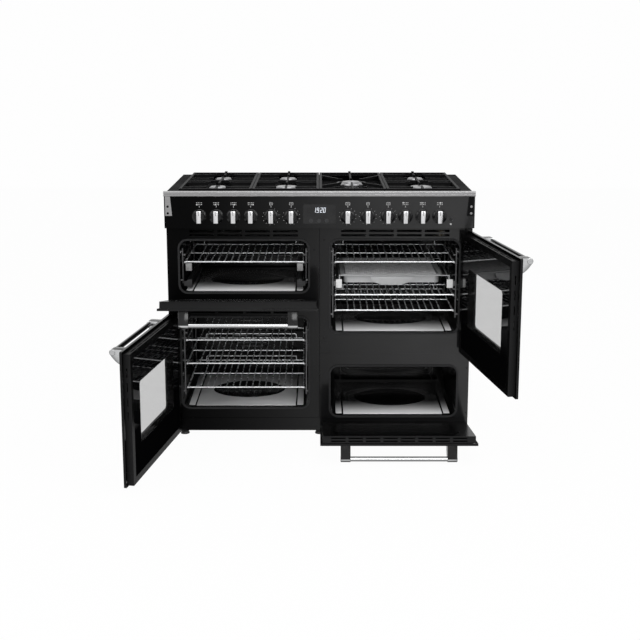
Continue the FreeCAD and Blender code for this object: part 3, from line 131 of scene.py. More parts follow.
def lathe(
    name: str, rings: Sequence[tuple[float, float]], centre: Point, axis: Point, sides: int = 40
) -> bpy.types.Object:
    """Raise a turned shape by extruding a circle ring by ring, in millimetres.

    Args:
        name: The piece's name.
        rings: Radius and height of each ring; the first and last are closed by a face.
        centre: The point where the height is zero.
        axis: The direction in which the height grows.
        sides: How many sides it is drawn with.

    Returns:
        The new turned piece.
    """
    deselect()
    radius, height = rings[0]
    place = (0, 0, height * MM)
    bpy.ops.mesh.primitive_circle_add(vertices=sides, radius=radius * MM, fill_type="NGON", location=place)
    piece = bpy.context.object
    bpy.ops.object.transform_apply(location=True, rotation=True, scale=True)
    bpy.ops.object.mode_set(mode="EDIT")
    bpy.ops.mesh.select_all(action="SELECT")
    for next_radius, next_height in rings[1:]:
        rise = (next_height - height) * MM
        bpy.ops.mesh.extrude_region_move(TRANSFORM_OT_translate={"value": (0, 0, rise)})
        grow = next_radius / radius
        bpy.ops.transform.resize(value=(grow, grow, 1), center_override=(0, 0, next_height * MM))
        radius, height = next_radius, next_height
    bpy.ops.mesh.select_all(action="SELECT")
    bpy.ops.mesh.normals_make_consistent(inside=False)
    bpy.ops.object.mode_set(mode="OBJECT")
    turn = Vector(axis).to_track_quat("Z", "Y").to_matrix().to_4x4()
    piece.data.transform(Matrix.Translation(Vector(centre) * MM) @ turn)
    piece.data.update()
    piece.name = name
    return piece


def drawn_path(points: Sequence[Point]) -> bpy.types.Object:
    """Draw a chain of edges by extruding one vertex from point to point; it stays in edit mode.

    Args:
        points: The path's points, in millimetres.

    Returns:
        The new piece.
    """
    deselect()
    bpy.ops.mesh.primitive_plane_add(size=MM, location=(0, 0, 0))
    piece = bpy.context.object
    bpy.ops.object.mode_set(mode="EDIT")
    bpy.ops.mesh.select_all(action="SELECT")
    bpy.ops.mesh.merge(type="CENTER")
    bpy.ops.transform.translate(value=Vector(points[0]) * MM)
    for before, after in zip(points, points[1:]):
        step = (Vector(after) - Vector(before)) * MM
        bpy.ops.mesh.extrude_vertices_move(TRANSFORM_OT_translate={"value": step})
    return piece


def wire(name: str, points: Sequence[Point], radius: float, sides: int = 6) -> bpy.types.Object:
    """Bend a round wire along a path, in millimetres.

    Args:
        name: The piece's name.
        points: The path's corners.
        radius: The wire's radius.
        sides: How many sides its section has, an even number from four.

    Returns:
        The new wire.
    """
    drawn_path(points)
    bpy.ops.object.mode_set(mode="OBJECT")
    bpy.ops.object.convert(target="CURVE")
    curve = bpy.context.object.data
    curve.dimensions = "3D"
    curve.bevel_depth = radius * MM
    curve.bevel_resolution = (sides - 4) // 2
    curve.use_fill_caps = True
    bpy.ops.object.convert(target="MESH")
    piece = bpy.context.object
    piece.name = name
    return piece


def extruded(name: str, outline: Sequence[Point], move: Point) -> bpy.types.Object:
    """Fill a drawn outline and extrude it, in millimetres.

    Args:
        name: The piece's name.
        outline: The outline's points.
        move: How far and in which direction it is extruded.

    Returns:
        The new solid.
    """
    piece = drawn_path(outline)
    bpy.ops.mesh.select_all(action="SELECT")
    bpy.ops.mesh.edge_face_add()
    bpy.ops.mesh.extrude_region_move(TRANSFORM_OT_translate={"value": Vector(move) * MM})
    bpy.ops.mesh.select_all(action="SELECT")
    bpy.ops.mesh.normals_make_consistent(inside=False)
    bpy.ops.object.mode_set(mode="OBJECT")
    piece.name = name
    return piece


def rounded_path(points: Sequence[Point], radius: float, steps: int = 3) -> list[Point]:
    """Round the inner corners of a path.

    Args:
        points: The path's corners.
        radius: How far before and after a corner its curve starts and ends.
        steps: How many points each curve has.

    Returns:
        The path with its corners rounded.
    """
    path = [tuple(points[0])]
    for before, corner, after in zip(points, points[1:], points[2:]):
        here = Vector(corner)
        back = (Vector(before) - here).normalized() * radius
        ahead = (Vector(after) - here).normalized() * radius
        for step in range(steps + 1):
            t = step / steps
            path.append(tuple(here + back * (1 - t) ** 2 + ahead * t**2))
    path.append(tuple(points[-1]))
    return path


def join(name: str, pieces: Sequence[bpy.types.Object]) -> bpy.types.Object:
    """Join pieces into one object.

    Args:
        name: The joined piece's name.
        pieces: The pieces to join.

    Returns:
        The joined piece.
    """
    pick(*pieces)
    if len(pieces) > 1:
        bpy.ops.object.join()
    piece = bpy.context.object
    piece.name = name
    piece.data.name = name
    return piece


def copied(piece: bpy.types.Object, name: str, matrix: Matrix) -> bpy.types.Object:
    """Copy a piece with its own mesh and move the copy's points.

    Args:
        piece: The piece to copy.
        name: The copy's name.
        matrix: The move, in metres.

    Returns:
        The copy.
    """
    other = piece.copy()
    other.data = piece.data.copy()
    other.name = name
    other.data.name = name
    bpy.context.collection.objects.link(other)
    other.data.transform(matrix)
    if matrix.determinant() < 0:
        other.data.flip_normals()
    other.data.update()
    return other


def moved(x: float = 0.0, y: float = 0.0, z: float = 0.0) -> Matrix:
    """A move by millimetres."""
    return Matrix.Translation((x * MM, y * MM, z * MM))


def turned(angle: float, axis: str, about: Point) -> Matrix:
    """A turn in degrees about an axis through a point in millimetres."""
    place = Matrix.Translation(Vector(about) * MM)
    return place @ Matrix.Rotation(math.radians(angle), 4, axis) @ place.inverted()


def bevelled(piece: bpy.types.Object, width: float, segments: int = 2, angle: float = 40.0) -> bpy.types.Object:
    """Round a piece's sharp edges, in millimetres.

    Args:
        piece: The piece to round.
        width: The width of the rounding.
        segments: How many faces the rounding has.
        angle: Edges sharper than this are rounded, in degrees.

    Returns:
        The same piece.
    """
    pick(piece)
    modifier = piece.modifiers.new("edge", "BEVEL")
    modifier.width = width * MM
    modifier.segments = segments
    modifier.limit_method = "ANGLE"
    modifier.angle_limit = math.radians(angle)
    modifier.harden_normals = False
    bpy.ops.object.modifier_apply(modifier=modifier.name)
    return piece


def smooth(piece: bpy.types.Object, angle: float = 35.0) -> bpy.types.Object:
    """Shade a piece smooth except over its sharper edges.

    Args:
        piece: The piece to shade.
        angle: Edges sharper than this stay sharp, in degrees.

    Returns:
        The same piece.
    """
    pick(piece)
    bpy.ops.object.shade_smooth_by_angle(angle=math.radians(angle))
    return piece


def carve(piece: bpy.types.Object, tool: bpy.types.Object) -> bpy.types.Object:
    """Cut one piece by another, which is used up.

    Args:
        piece: The piece to cut.
        tool: The piece that is taken away from it.

    Returns:
        The piece that was cut.
    """
    pick(piece)
    modifier = piece.modifiers.new("cut", "BOOLEAN")
    modifier.operation = "DIFFERENCE"
    modifier.solver = "EXACT"
    modifier.object = tool
    bpy.ops.object.modifier_apply(modifier=modifier.name)
    bpy.data.objects.remove(tool)
    return piece


def oval(name: str, size: tuple[float, float], centre: Point, height: float) -> bpy.types.Object:
    """Add an upright oval plate, in millimetres.

    Args:
        name: The piece's name.
        size: Half its length along X and along Y.
        centre: The middle of its lower face.
        height: How high it stands.

    Returns:
        The new plate.
    """
    deselect()
    middle = Vector(centre) * MM + Vector((0, 0, height / 2 * MM))
    bpy.ops.mesh.primitive_cylinder_add(vertices=72, radius=1, depth=height * MM, location=middle)
    piece = bpy.context.object
    piece.scale = (size[0] * MM, size[1] * MM, 1)
    return settle(piece, name)


def ring_plate(name: str, low: Point, high: Point, edge: float, corner: float) -> bpy.types.Object:
    """Add a thin upright frame with rounded corners, facing the front.

    Args:
        name: The piece's name.
        low: The lowest outer corner.
        high: The highest outer corner.
        edge: The width of the frame's strip.
        corner: The radius of its outer corners.

    Returns:
        The new frame.
    """
    plate = bevelled(box(name, low, high), corner, 5, CORNER_ANGLE)
    hole_low = (low[0] + edge, low[1] - CUT_DEPTH, low[2] + edge)
    hole_high = (high[0] - edge, high[1] + CUT_DEPTH, high[2] - edge)
    return carve(plate, bevelled(box("hole", hole_low, hole_high), max(corner - edge, 1), 5, CORNER_ANGLE))


# ---------------------------------------------------------------- shader node groups
class Effect(Enum):
    """The shared surface effects, each one a shader node group."""

    CLOUDS = "soft_clouds"
    FLECKS = "fine_flecks"
    BRUSHED = "brushed_lines"
    WEAVE = "woven_braid"
    SPANGLE = "zinc_spangle"
    # The across, inward, edge and door fades paint light and shade: a painted sheen, a painted pool of light, painted
    # light on the doors' free edges and a painted reflection on the glass.
    ACROSS = "fade_across"
    INWARD = "fade_inward"
    GRAIN = "vertical_grain"
    FLAP_EDGE = "flap_edge_fade"
    SWING_EDGE = "swing_edge_fade"
    RAIL_END = "rail_end_plates"
    LOW_GLASS = "lower_door_fade"
    HIGH_GLASS = "upper_door_fade"


def ramp(tree: bpy.types.NodeTree, low: float, high: float, start: float = 0.0, end: float = 1.0) -> bpy.types.Node:
    """Add a node that spreads a value range.

    Args:
        tree: The node tree it goes in.
        low: The input that gives the start value.
        high: The input that gives the end value.
        start: The output at the low input.
        end: The output at the high input.

    Returns:
        The new node.
    """
    node = tree.nodes.new("ShaderNodeMapRange")
    for name, value in (("From Min", low), ("From Max", high), ("To Min", start), ("To Max", end)):
        node.inputs[name].default_value = value
    return node


@dataclass
class GroupMaker:
    """One node group on Object coordinates, with a Scale input, and Mask and Height outputs."""

    effect: Effect
    tree: bpy.types.NodeTree = field(init=False)
    scale: bpy.types.NodeSocket = field(init=False)
    where: bpy.types.NodeSocket = field(init=False)
    out: bpy.types.Node = field(init=False)

    def __post_init__(self) -> None:
        """Start the group with its sockets."""
        self.tree = bpy.data.node_groups.new(self.effect.value, "ShaderNodeTree")
        scale = self.tree.interface.new_socket(name="Scale", in_out="INPUT", socket_type="NodeSocketFloat")
        scale.default_value = 10.0
        for name in ("Mask", "Height"):
            self.tree.interface.new_socket(name=name, in_out="OUTPUT", socket_type="NodeSocketFloat")
        self.scale = self.tree.nodes.new("NodeGroupInput").outputs["Scale"]
        self.where = self.tree.nodes.new("ShaderNodeTexCoord").outputs["Object"]
        self.out = self.tree.nodes.new("NodeGroupOutput")

    def node(self, kind: str, vector: bpy.types.NodeSocket, **values: float | Point) -> bpy.types.Node:
        """Add a node that reads a point.

        Args:
            kind: The node's kind.
            vector: The point that it reads.
            values: Values for its inputs, by name.

        Returns:
            The new node.
        """
        node = self.tree.nodes.new("ShaderNode" + kind)
        self.tree.links.new(vector, node.inputs["Vector"])
        for name, value in values.items():
            node.inputs[name].default_value = value
        return node

    def texture(self, kind: str, vector: bpy.types.NodeSocket, **values: float) -> bpy.types.Node:
        """Add a texture at the group's scale.

        Args:
            kind: The texture's kind.
            vector: The point that it reads.
            values: Values for its inputs, by name.

        Returns:
            The new node.
        """
        node = self.node("Tex" + kind, vector, **values)
        self.tree.links.new(self.scale, node.inputs["Scale"])
        return node

    def mapped(self, **values: Point) -> bpy.types.NodeSocket:
        """The Object coordinates, stretched or turned."""
        return self.node("Mapping", self.where, **values).outputs["Vector"]

    def spread(self, value: bpy.types.NodeSocket, *limits: float, smooth: bool = False) -> bpy.types.NodeSocket:
        """Spread a value range.

        Args:
            value: The value.
            limits: The limits that ramp takes.
            smooth: Whether the range has soft ends.

        Returns:
            The spread value.
        """
        node = ramp(self.tree, *limits)
        if smooth:
            node.interpolation_type = "SMOOTHSTEP"
        self.tree.links.new(value, node.inputs["Value"])
        return node.outputs["Result"]

    def maths(self, operation: str, *terms: bpy.types.NodeSocket | float) -> bpy.types.NodeSocket:
        """Add one step of arithmetic.

        Args:
            operation: The operation's name.
            terms: Its terms, each a socket or a number.

        Returns:
            The result.
        """
        node = self.tree.nodes.new("ShaderNodeMath")
        node.operation = operation
        for socket, term in zip(node.inputs, terms):
            if isinstance(term, bpy.types.NodeSocket):
                self.tree.links.new(term, socket)
            else:
                socket.default_value = term
        return node.outputs[0]

    def done(self, mask: bpy.types.NodeSocket, height: bpy.types.NodeSocket) -> bpy.types.NodeTree:
        """Put out the mask and the height.

        Args:
            mask: The mask.
            height: The height.

        Returns:
            The finished group.
        """
        self.tree.links.new(mask, self.out.inputs["Mask"])
        self.tree.links.new(height, self.out.inputs["Height"])
        return self.tree


def clouds_group() -> bpy.types.NodeTree:
    """Soft patches, with a very fine ripple for the height.

    Returns:
        The group.
    """
    make = GroupMaker(Effect.CLOUDS)
    patches = make.texture("Noise", make.where, Detail=4.0).outputs["Fac"]
    ripple = make.node("TexNoise", make.where, Detail=2.0, Scale=420.0).outputs["Fac"]
    return make.done(make.spread(patches, 0.35, 0.65), ripple)


def flecks_group() -> bpy.types.NodeTree:
    """Small scattered flecks, as in speckled enamel or cast metal.

    Returns:
        The group.
    """
    make = GroupMaker(Effect.FLECKS)
    cells = make.texture("Voronoi", make.where).outputs["Distance"]
    rough = make.texture("Noise", make.where, Detail=6.0).outputs["Fac"]
    return make.done(make.spread(cells, 0.12, 0.2, 1.0, 0.0), rough)


def lines_group(effect: Effect, stretch: Point, detail: float) -> bpy.types.NodeTree:
    """Long fine lines, as left by a polishing belt.

    Args:
        effect: The effect that the group makes.
        stretch: The pattern's scale along each axis, small along the lines.
        detail: How fine the lines are.

    Returns:
        The group.
    """
    make = GroupMaker(effect)
    lines = make.texture("Noise", make.mapped(Scale=stretch), Detail=detail).outputs["Fac"]
    return make.done(make.spread(lines, 0.3, 0.7), lines)


def weave_group() -> bpy.types.NodeTree:
    """Crossed diagonal strands, as in a braided seal.

    Returns:
        The group.
    """
    make = GroupMaker(Effect.WEAVE)
    strands = []
    for angle in (45.0, -45.0):
        leaning = make.mapped(Rotation=(0, math.radians(angle), 0))
        strands.append(make.texture("Wave", leaning, Distortion=0.4).outputs["Fac"])
    braid = make.maths("MAXIMUM", *strands)
    return make.done(braid, braid)


def spangle_group() -> bpy.types.NodeTree:
    """Flat crystal patches, as on zinc-coated sheet.

    Returns:
        The group.
    """
    make = GroupMaker(Effect.SPANGLE)
    cells = make.texture("Voronoi", make.where)
    split = make.tree.nodes.new("ShaderNodeSeparateColor")
    make.tree.links.new(cells.outputs["Color"], split.inputs["Color"])
    grit = make.node("TexNoise", make.where, Scale=300.0)
    return make.done(split.outputs["Red"], grit.outputs["Fac"])


def painted_light_fade_group(effect: Effect, axis: str, start: float, end: float) -> bpy.types.NodeTree:
    """A slow fade along one axis of the cooker, broken by soft patches; every use of it paints light or shade.

    Args:
        effect: The effect that the group makes.
        axis: The axis, X, Y or Z.
        start: Where the mask is 0, in metres.
        end: Where the mask is 1, in metres.

    Returns:
        The group.
    """
    make = GroupMaker(effect)
    along = make.node("SeparateXYZ", make.where).outputs[axis]
    patches = make.texture("Noise", make.where).outputs["Fac"]
    fade = make.spread(along, start, end, smooth=True)
    return make.done(make.maths("MULTIPLY", fade, make.spread(patches, 0.3, 0.7, 0.9, 1.0)), patches)


def rail_end_group(
    screw_x: float = 0.5365,
    screw_heights: tuple[float, float] = (0.864, 0.840),
    screw_radius: float = 0.0043,
    plate_start: float = 0.5,
    plate_top: float = 0.8998,
) -> bpy.types.NodeTree:
    """Mark the front rail's right end plate and the screws in both, over faint polishing lines.

    Args:
        screw_x: How far the screws are from the cooker's middle, in metres, as all sizes here.
        screw_heights: The heights of an end plate's two screws.
        screw_radius: The radius of a screw's head.
        plate_start: Where the right end plate starts along X.
        plate_top: How high it reaches.

    Returns:
        The group.
    """
    make = GroupMaker(Effect.RAIL_END)
    split = make.node("SeparateXYZ", make.where)
    lines = make.texture("Noise", make.mapped(Scale=(0.02, 1.0, 1.0))).outputs["Fac"]
    x, z = split.outputs["X"], split.outputs["Z"]
    beside = make.maths("SUBTRACT", make.maths("ABSOLUTE", x), screw_x)
    beside = make.maths("MULTIPLY", beside, beside)
    near = []
    for height in screw_heights:
        above = make.maths("SUBTRACT", z, height)
        near.append(make.maths("ADD", beside, make.maths("MULTIPLY", above, above)))
    screw = make.maths("LESS_THAN", make.maths("MINIMUM", *near), screw_radius**2)
    plate = make.maths(
        "MULTIPLY", make.maths("GREATER_THAN", x, plate_start), make.maths("LESS_THAN", z, plate_top)
    )
    either = make.maths("ABSOLUTE", make.maths("SUBTRACT", plate, screw))
    return make.done(make.maths("MAXIMUM", either, make.spread(lines, 0.3, 0.7, 0.0, 0.15)), lines)


GROUPS = {
    Effect.CLOUDS: clouds_group(),
    Effect.FLECKS: flecks_group(),
    Effect.BRUSHED: lines_group(Effect.BRUSHED, (0.02, 1.0, 1.0), 5.0),
    Effect.GRAIN: lines_group(Effect.GRAIN, (1.0, 1.0, 0.04), 3.0),
    Effect.WEAVE: weave_group(),
    Effect.SPANGLE: spangle_group(),
    Effect.RAIL_END: rail_end_group(),
    # The fades below paint light and shade.
    Effect.ACROSS: painted_light_fade_group(Effect.ACROSS, "X", -0.5, 0.5),
    Effect.INWARD: painted_light_fade_group(Effect.INWARD, "Y", -0.01, 0.16),
    Effect.FLAP_EDGE: painted_light_fade_group(Effect.FLAP_EDGE, "Y", -0.30, -0.345),
    Effect.SWING_EDGE: painted_light_fade_group(Effect.SWING_EDGE, "Y", -0.560, -0.585),
    Effect.LOW_GLASS: painted_light_fade_group(Effect.LOW_GLASS, "Z", 0.20, 0.32),
    Effect.HIGH_GLASS: painted_light_fade_group(Effect.HIGH_GLASS, "Z", 0.44, 0.56),
}


# ---------------------------------------------------------------- finishes
def grey(level: float, blue: float | None = None) -> Colour:
    """A grey, a little cooler where its blue is given."""
    return (level, level, level if blue is None else blue)


@dataclass(frozen=True)
class Finish:
    """One surface finish, made as a procedural material.

    The base colour drifts between two colours, and the roughness and the coat between two values, by the effect's
    mask. The effect's height gives the relief. An edge below 1 is the brightness left at the outline.
    """

    name: str
    colour: Colour
    second: Colour
    effect: Effect = Effect.CLOUDS
    scale: float = 9.0
    metallic: float = 0.0
    roughness: tuple[float, float] = (0.2, 0.3)
    relief: float = 0.05
    depth: float = 0.0002
    coat: tuple[float, float] = (0.0, 0.0)
    coat_roughness: float = 0.05
    alpha: float = 1.0
    specular: float = 0.5
    glow: float = 0.0
    edge: float = 1.0

    def build(self) -> bpy.types.Material:
        """Make the material.

        Returns:
            The material, made once and then kept under the finish's name.
        """
        if self.name in bpy.data.materials:
            return bpy.data.materials[self.name]
        material = bpy.data.materials.new(self.name)
        material.use_nodes = True
        tree = material.node_tree
        inputs = tree.nodes["Principled BSDF"].inputs
        effect = tree.nodes.new("ShaderNodeGroup")
        effect.node_tree = GROUPS[self.effect]
        effect.inputs["Scale"].default_value = self.scale
        blend = tree.nodes.new("ShaderNodeMix")
        blend.data_type = "RGBA"
        blend.inputs[6].default_value = (*self.colour, 1)
        blend.inputs[7].default_value = (*self.second, 1)
        bump = tree.nodes.new("ShaderNodeBump")
        bump.inputs["Strength"].default_value = self.relief
        bump.inputs["Distance"].default_value = self.depth
        tree.links.new(effect.outputs["Mask"], blend.inputs[0])
        tree.links.new(effect.outputs["Height"], bump.inputs["Height"])
        tree.links.new(self.darkened(tree, blend.outputs[2]), inputs["Base Color"])
        tree.links.new(bump.outputs["Normal"], inputs["Normal"])
        for name, limits in (("Roughness", self.roughness), ("Coat Weight", self.coat)):
            if limits[0] == limits[1]:
                inputs[name].default_value = limits[0]
            else:
                drift = ramp(tree, 0.0, 1.0, *limits)
                tree.links.new(effect.outputs["Mask"], drift.inputs["Value"])
                tree.links.new(drift.outputs["Result"], inputs[name])
        inputs["Metallic"].default_value = self.metallic
        inputs["Coat Roughness"].default_value = self.coat_roughness
        inputs["Alpha"].default_value = self.alpha
        inputs["Specular IOR Level"].default_value = self.specular
        if self.glow:
            tree.links.new(blend.outputs[2], inputs["Emission Color"])
            inputs["Emission Strength"].default_value = self.glow
        return material

    def darkened(self, tree: bpy.types.NodeTree, colour: bpy.types.NodeSocket) -> bpy.types.NodeSocket:
        """Darken a round bright part towards its outline, as dark flags beside it would.

        Args:
            tree: The material's node tree.
            colour: The plain colour.

        Returns:
            The darkened colour, or the plain one when the finish has no dark edge.
        """
        if self.edge >= 1.0:
            return colour
        facing = tree.nodes.new("ShaderNodeLayerWeight")
        facing.inputs["Blend"].default_value = 0.5
        fall = ramp(tree, 0.02, 0.36, 1.0, self.edge)
        fall.interpolation_type = "SMOOTHSTEP"
        darker = tree.nodes.new("ShaderNodeVectorMath")
        darker.operation = "SCALE"
        tree.links.new(facing.outputs["Facing"], fall.inputs["Value"])
        tree.links.new(colour, darker.inputs[0])
        tree.links.new(fall.outputs["Result"], darker.inputs["Scale"])
        return darker.outputs["Vector"]


# Front enamel with a painted sheen: lighter and more coated from left to right. This stands in for the brighter
# reflection on the right-hand side of the frame, fascia and plinth.
FRONT_SHEEN_ENAMEL = Finish(
    "front_enamel", grey(0.0012, 0.0013), grey(0.01, 0.0105), Effect.ACROSS, 6.0, roughness=(0.3, 0.3),
    coat=(0.0, 0.85), coat_roughness=0.12, specular=0.03, relief=0.02
)
DOOR_ENAMEL = Finish(
    "door_enamel", grey(0.003, 0.0032), grey(0.006, 0.0064), scale=6.0, roughness=(0.12, 0.2), specular=0.15,
    relief=0.02
)
# The dropped flaps' inner tray is black enamel made lighter towards its free front end: painted light where the light
# falls on it.
FLAP_LIT_EDGE_ENAMEL = Finish(
    "flap_tray_enamel", grey(0.0015, 0.0016), grey(0.055, 0.056), Effect.FLAP_EDGE, 7.0, roughness=(0.25, 0.4),
    specular=0.05, relief=0.03
)
# The swung doors' inner tray is black enamel made lighter towards its free edge: painted light on the edge that faces
# the front.
SWING_LIT_EDGE_ENAMEL = Finish(
    "swing_tray_enamel", grey(0.002, 0.0021), grey(0.048, 0.049), Effect.SWING_EDGE, 7.0, roughness=(0.25, 0.4),
    specular=0.02, relief=0.03
)
SIDE_ENAMEL = Finish(
    "satin_black_sheet", grey(0.008, 0.0085), grey(0.013, 0.0135), scale=6.0, roughness=(0.42, 0.52), specular=0.15,
    relief=0.08
)
LINER_ENAMEL = Finish(
    "speckled_liner_enamel", grey(0.0015, 0.0017), grey(0.013, 0.014), Effect.FLECKS, 420.0, roughness=(0.14, 0.24),
    specular=0.12, relief=0.03
)
# Oven floor with painted light: near white at the front, fading to near black towards the back. This is a painted
# pool of light where light comes in at the mouth, with painted shade further in.
LIT_FRONT_FLOOR_ENAMEL = Finish(
    "oven_floor_enamel", grey(0.88, 0.885), grey(0.006, 0.0065), Effect.INWARD, 8.0, roughness=(0.16, 0.1),
    relief=0.01
)
# The lower left floor's copy of the floor enamel, pale all over: painted light, a lit copy of the fading floor above.
EVENLY_LIT_FLOOR = Finish(
    "pale_floor_enamel", grey(0.8, 0.805), grey(0.66, 0.665), scale=5.0, roughness=(0.14, 0.2), relief=0.01
)
HOB_ENAMEL = Finish(
    "hob_enamel", grey(0.001, 0.0012), grey(0.004, 0.0043), scale=8.0, roughness=(0.5, 0.62), specular=0.01,
    relief=0.03
)
GRATE_IRON = Finish(
    "grate_iron", grey(0.004, 0.0043), grey(0.014, 0.0145), Effect.FLECKS, 500.0, roughness=(0.5, 0.62),
    specular=0.06, relief=0.35, depth=0.0003
)
CHROME = Finish(
    "bright_chrome", (0.6, 0.605, 0.61), (0.46, 0.465, 0.47), Effect.BRUSHED, 700.0, metallic=1.0,
    roughness=(0.10, 0.17), relief=0.04, edge=0.06
)
RAIL_CHROME = Finish(
    "front_rail_metal", (0.32, 0.317, 0.32), grey(0.008, 0.0083), Effect.RAIL_END, 300.0, metallic=1.0,
    roughness=(0.24, 0.34), relief=0.01
)
ARM_BLACK = Finish(
    "handle_arm_black", grey(0.006, 0.0063), grey(0.012, 0.0125), scale=30.0, roughness=(0.1, 0.16), specular=0.25,
    relief=0.02
)
WIRE_CHROME = Finish(
    "shelf_chrome", (0.86, 0.87, 0.88), (0.68, 0.69, 0.7), scale=30.0, metallic=0.7, roughness=(0.22, 0.32),
    relief=0.03
)
# Chrome ladders given a very dark colour: painted shade, standing in for the shade on the cavity side walls.
SHADED_LADDER_CHROME = Finish(
    "ladder_chrome", grey(0.15, 0.153), grey(0.09, 0.092), scale=30.0, metallic=0.8, roughness=(0.25, 0.35),
    relief=0.03
)
# Steel made very dark: painted shade, so that the slide rails and the fan wheel sit in the cavities' shadow.
SHADED_RAIL_STEEL = Finish(
    "slide_rail_steel", grey(0.16, 0.163), grey(0.1, 0.102), Effect.BRUSHED, 500.0, metallic=1.0,
    roughness=(0.28, 0.36), relief=0.08
)
RAIL_CAP = Finish(
    "rail_end_cap", grey(0.8), grey(0.7), scale=80.0, roughness=(0.3, 0.42), relief=0.04
)
STOP_STEEL = Finish(
    "stop_block_steel", grey(0.3), grey(0.22), scale=80.0, roughness=(0.3, 0.42), relief=0.04
)
CAST_ALUMINIUM = Finish(
    "cast_aluminium", grey(0.26, 0.265), grey(0.14, 0.145), Effect.FLECKS, 450.0, metallic=1.0,
    roughness=(0.32, 0.46), relief=0.3, depth=0.0002
)
BURNER_CAP = Finish(
    "burner_cap_metal", grey(0.28, 0.285), grey(0.16, 0.165), scale=60.0, metallic=1.0, roughness=(0.24, 0.36),
    relief=0.06
)
ZINC_SHEET = Finish(
    "zinc_sheet", (0.42, 0.43, 0.44), (0.56, 0.57, 0.58), Effect.SPANGLE, 60.0, metallic=1.0,
    roughness=(0.32, 0.46), relief=0.06
)
PAN_ENAMEL = Finish(
    "grey_pan_enamel", (0.42, 0.425, 0.43), grey(0.26, 0.265), Effect.FLECKS, 380.0, roughness=(0.25, 0.36),
    relief=0.04
)
BRASS = Finish(
    "cast_brass", (0.56, 0.42, 0.17), (0.44, 0.32, 0.13), Effect.FLECKS, 300.0, metallic=1.0, roughness=(0.3, 0.42),
    relief=0.2
)
SEAL = Finish(
    "braided_seal", grey(0.01, 0.0105), grey(0.03, 0.031), Effect.WEAVE, 260.0, roughness=(0.7, 0.85), specular=0.2,
    relief=0.7, depth=0.0006
)
FOOT_PLASTIC = Finish(
    "foot_plastic", grey(0.014), grey(0.024), scale=60.0, roughness=(0.4, 0.55), specular=0.3, relief=0.2
)
CLOCK_GLASS = Finish(
    "clock_glass", grey(0.008, 0.0085), grey(0.014, 0.0145), scale=20.0, roughness=(0.08, 0.12), specular=0.3,
    relief=0.01
)
CLEAR_GLASS = Finish(
    "clear_glass", grey(0.02), grey(0.03), scale=12.0, roughness=(0.02, 0.05), alpha=0.14, specular=0.03,
    relief=0.0
)
# The black print on the swung doors' inner glass, with a painted reflection: its coat fades in towards the top, so
# only the upper part shows a glossy reflection.
LOW_PRINT_SHEEN = Finish(
    "lower_glass_print", grey(0.0015, 0.0017), grey(0.003, 0.0032), Effect.LOW_GLASS, 14.0, roughness=(0.04, 0.04),
    coat=(0.0, 1.0), coat_roughness=0.02, specular=0.0, relief=0.01
)
HIGH_PRINT_SHEEN = Finish(
    "upper_glass_print", grey(0.0015, 0.0017), grey(0.003, 0.0032), Effect.HIGH_GLASS, 14.0, roughness=(0.04, 0.04),
    coat=(0.0, 1.0), coat_roughness=0.02, specular=0.0, relief=0.01
)
# The pressed rings on the rear walls, lighter and glossier than the liner around them: a painted highlight on the
# ridges.
PRESS_LINE_HIGHLIGHT = Finish(
    "pressed_line", grey(0.03, 0.031), grey(0.05, 0.052), scale=30.0, roughness=(0.15, 0.25), specular=0.4,
    relief=0.02
)
WHITE_PRINT = Finish(
    "white_print", grey(0.55), grey(0.42), scale=200.0, roughness=(0.45, 0.6), relief=0.02
)
GREY_PRINT = Finish(
    "grey_print", grey(0.035, 0.037), grey(0.022, 0.023), scale=200.0, roughness=(0.3, 0.4), specular=0.2,
    relief=0.02
)
DIGIT_GLOW = Finish(
    "digit_glow", (0.62, 0.64, 0.67), (0.52, 0.55, 0.6), scale=300.0, roughness=(0.4, 0.5), specular=0.1,
    relief=0.0, glow=0.6
)
KNOB_BLACK = Finish(
    "knob_skirt_black", grey(0.004, 0.0043), grey(0.009, 0.0095), scale=50.0, roughness=(0.14, 0.22), specular=0.25,
    relief=0.03
)
KNOB_METAL = Finish(
    "knob_metal", grey(0.8, 0.81), grey(0.5, 0.51), Effect.GRAIN, 420.0, metallic=1.0, roughness=(0.14, 0.24),
    relief=0.05, edge=0.25
)
MESH_STEEL = Finish(
    "pan_mesh_steel", grey(0.62, 0.63), grey(0.44, 0.445), scale=60.0, metallic=0.4, roughness=(0.3, 0.45),
    relief=0.1
)
DOME_ENAMEL = Finish(
    "floor_dome_enamel", grey(0.003, 0.0032), grey(0.006, 0.0062), scale=10.0, roughness=(0.1, 0.16), specular=0.3,
    relief=0.01
)
ELEMENT_METAL = Finish(
    "element_metal", (0.1, 0.09, 0.085), (0.05, 0.045, 0.042), scale=50.0, metallic=1.0, roughness=(0.45, 0.6),
    relief=0.1
)
LAMP_GLASS = Finish(
    "lamp_glass", grey(0.55, 0.53), grey(0.42, 0.4), scale=120.0, roughness=(0.08, 0.16), relief=0.1
)


def dress(piece: bpy.types.Object, finish: Finish) -> bpy.types.Object:
    """Give a whole piece one finish.

    Args:
        piece: The piece to dress.
        finish: Its finish.

    Returns:
        The same piece.
    """
    material = finish.build()
    if not piece.material_slots:
        piece.data.materials.append(material)
    for slot in piece.material_slots:
        slot.material = material
    return piece


def dress_nodes(finish: Finish, *names: str) -> None:
    """Give carried-over nodes one finish."""
    for name in names:
        dress(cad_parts[name], finish)


def mount(piece: bpy.types.Object, body: str, slot: str, *replaced: str) -> bpy.types.Object:
    """Let a piece ride on a body and hide the nodes that it stands for.

    Args:
        piece: The finished piece.
        body: The body that it moves with.
        slot: The record's material slot; not used.
        replaced: The nodes that it stands for.

    Returns:
        The same piece.
    """
    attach(piece, body)
    if replaced:
        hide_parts(*replaced)
    LOG.info("%s rides on %s with %d faces", piece.name, body, len(piece.data.polygons))
    return piece


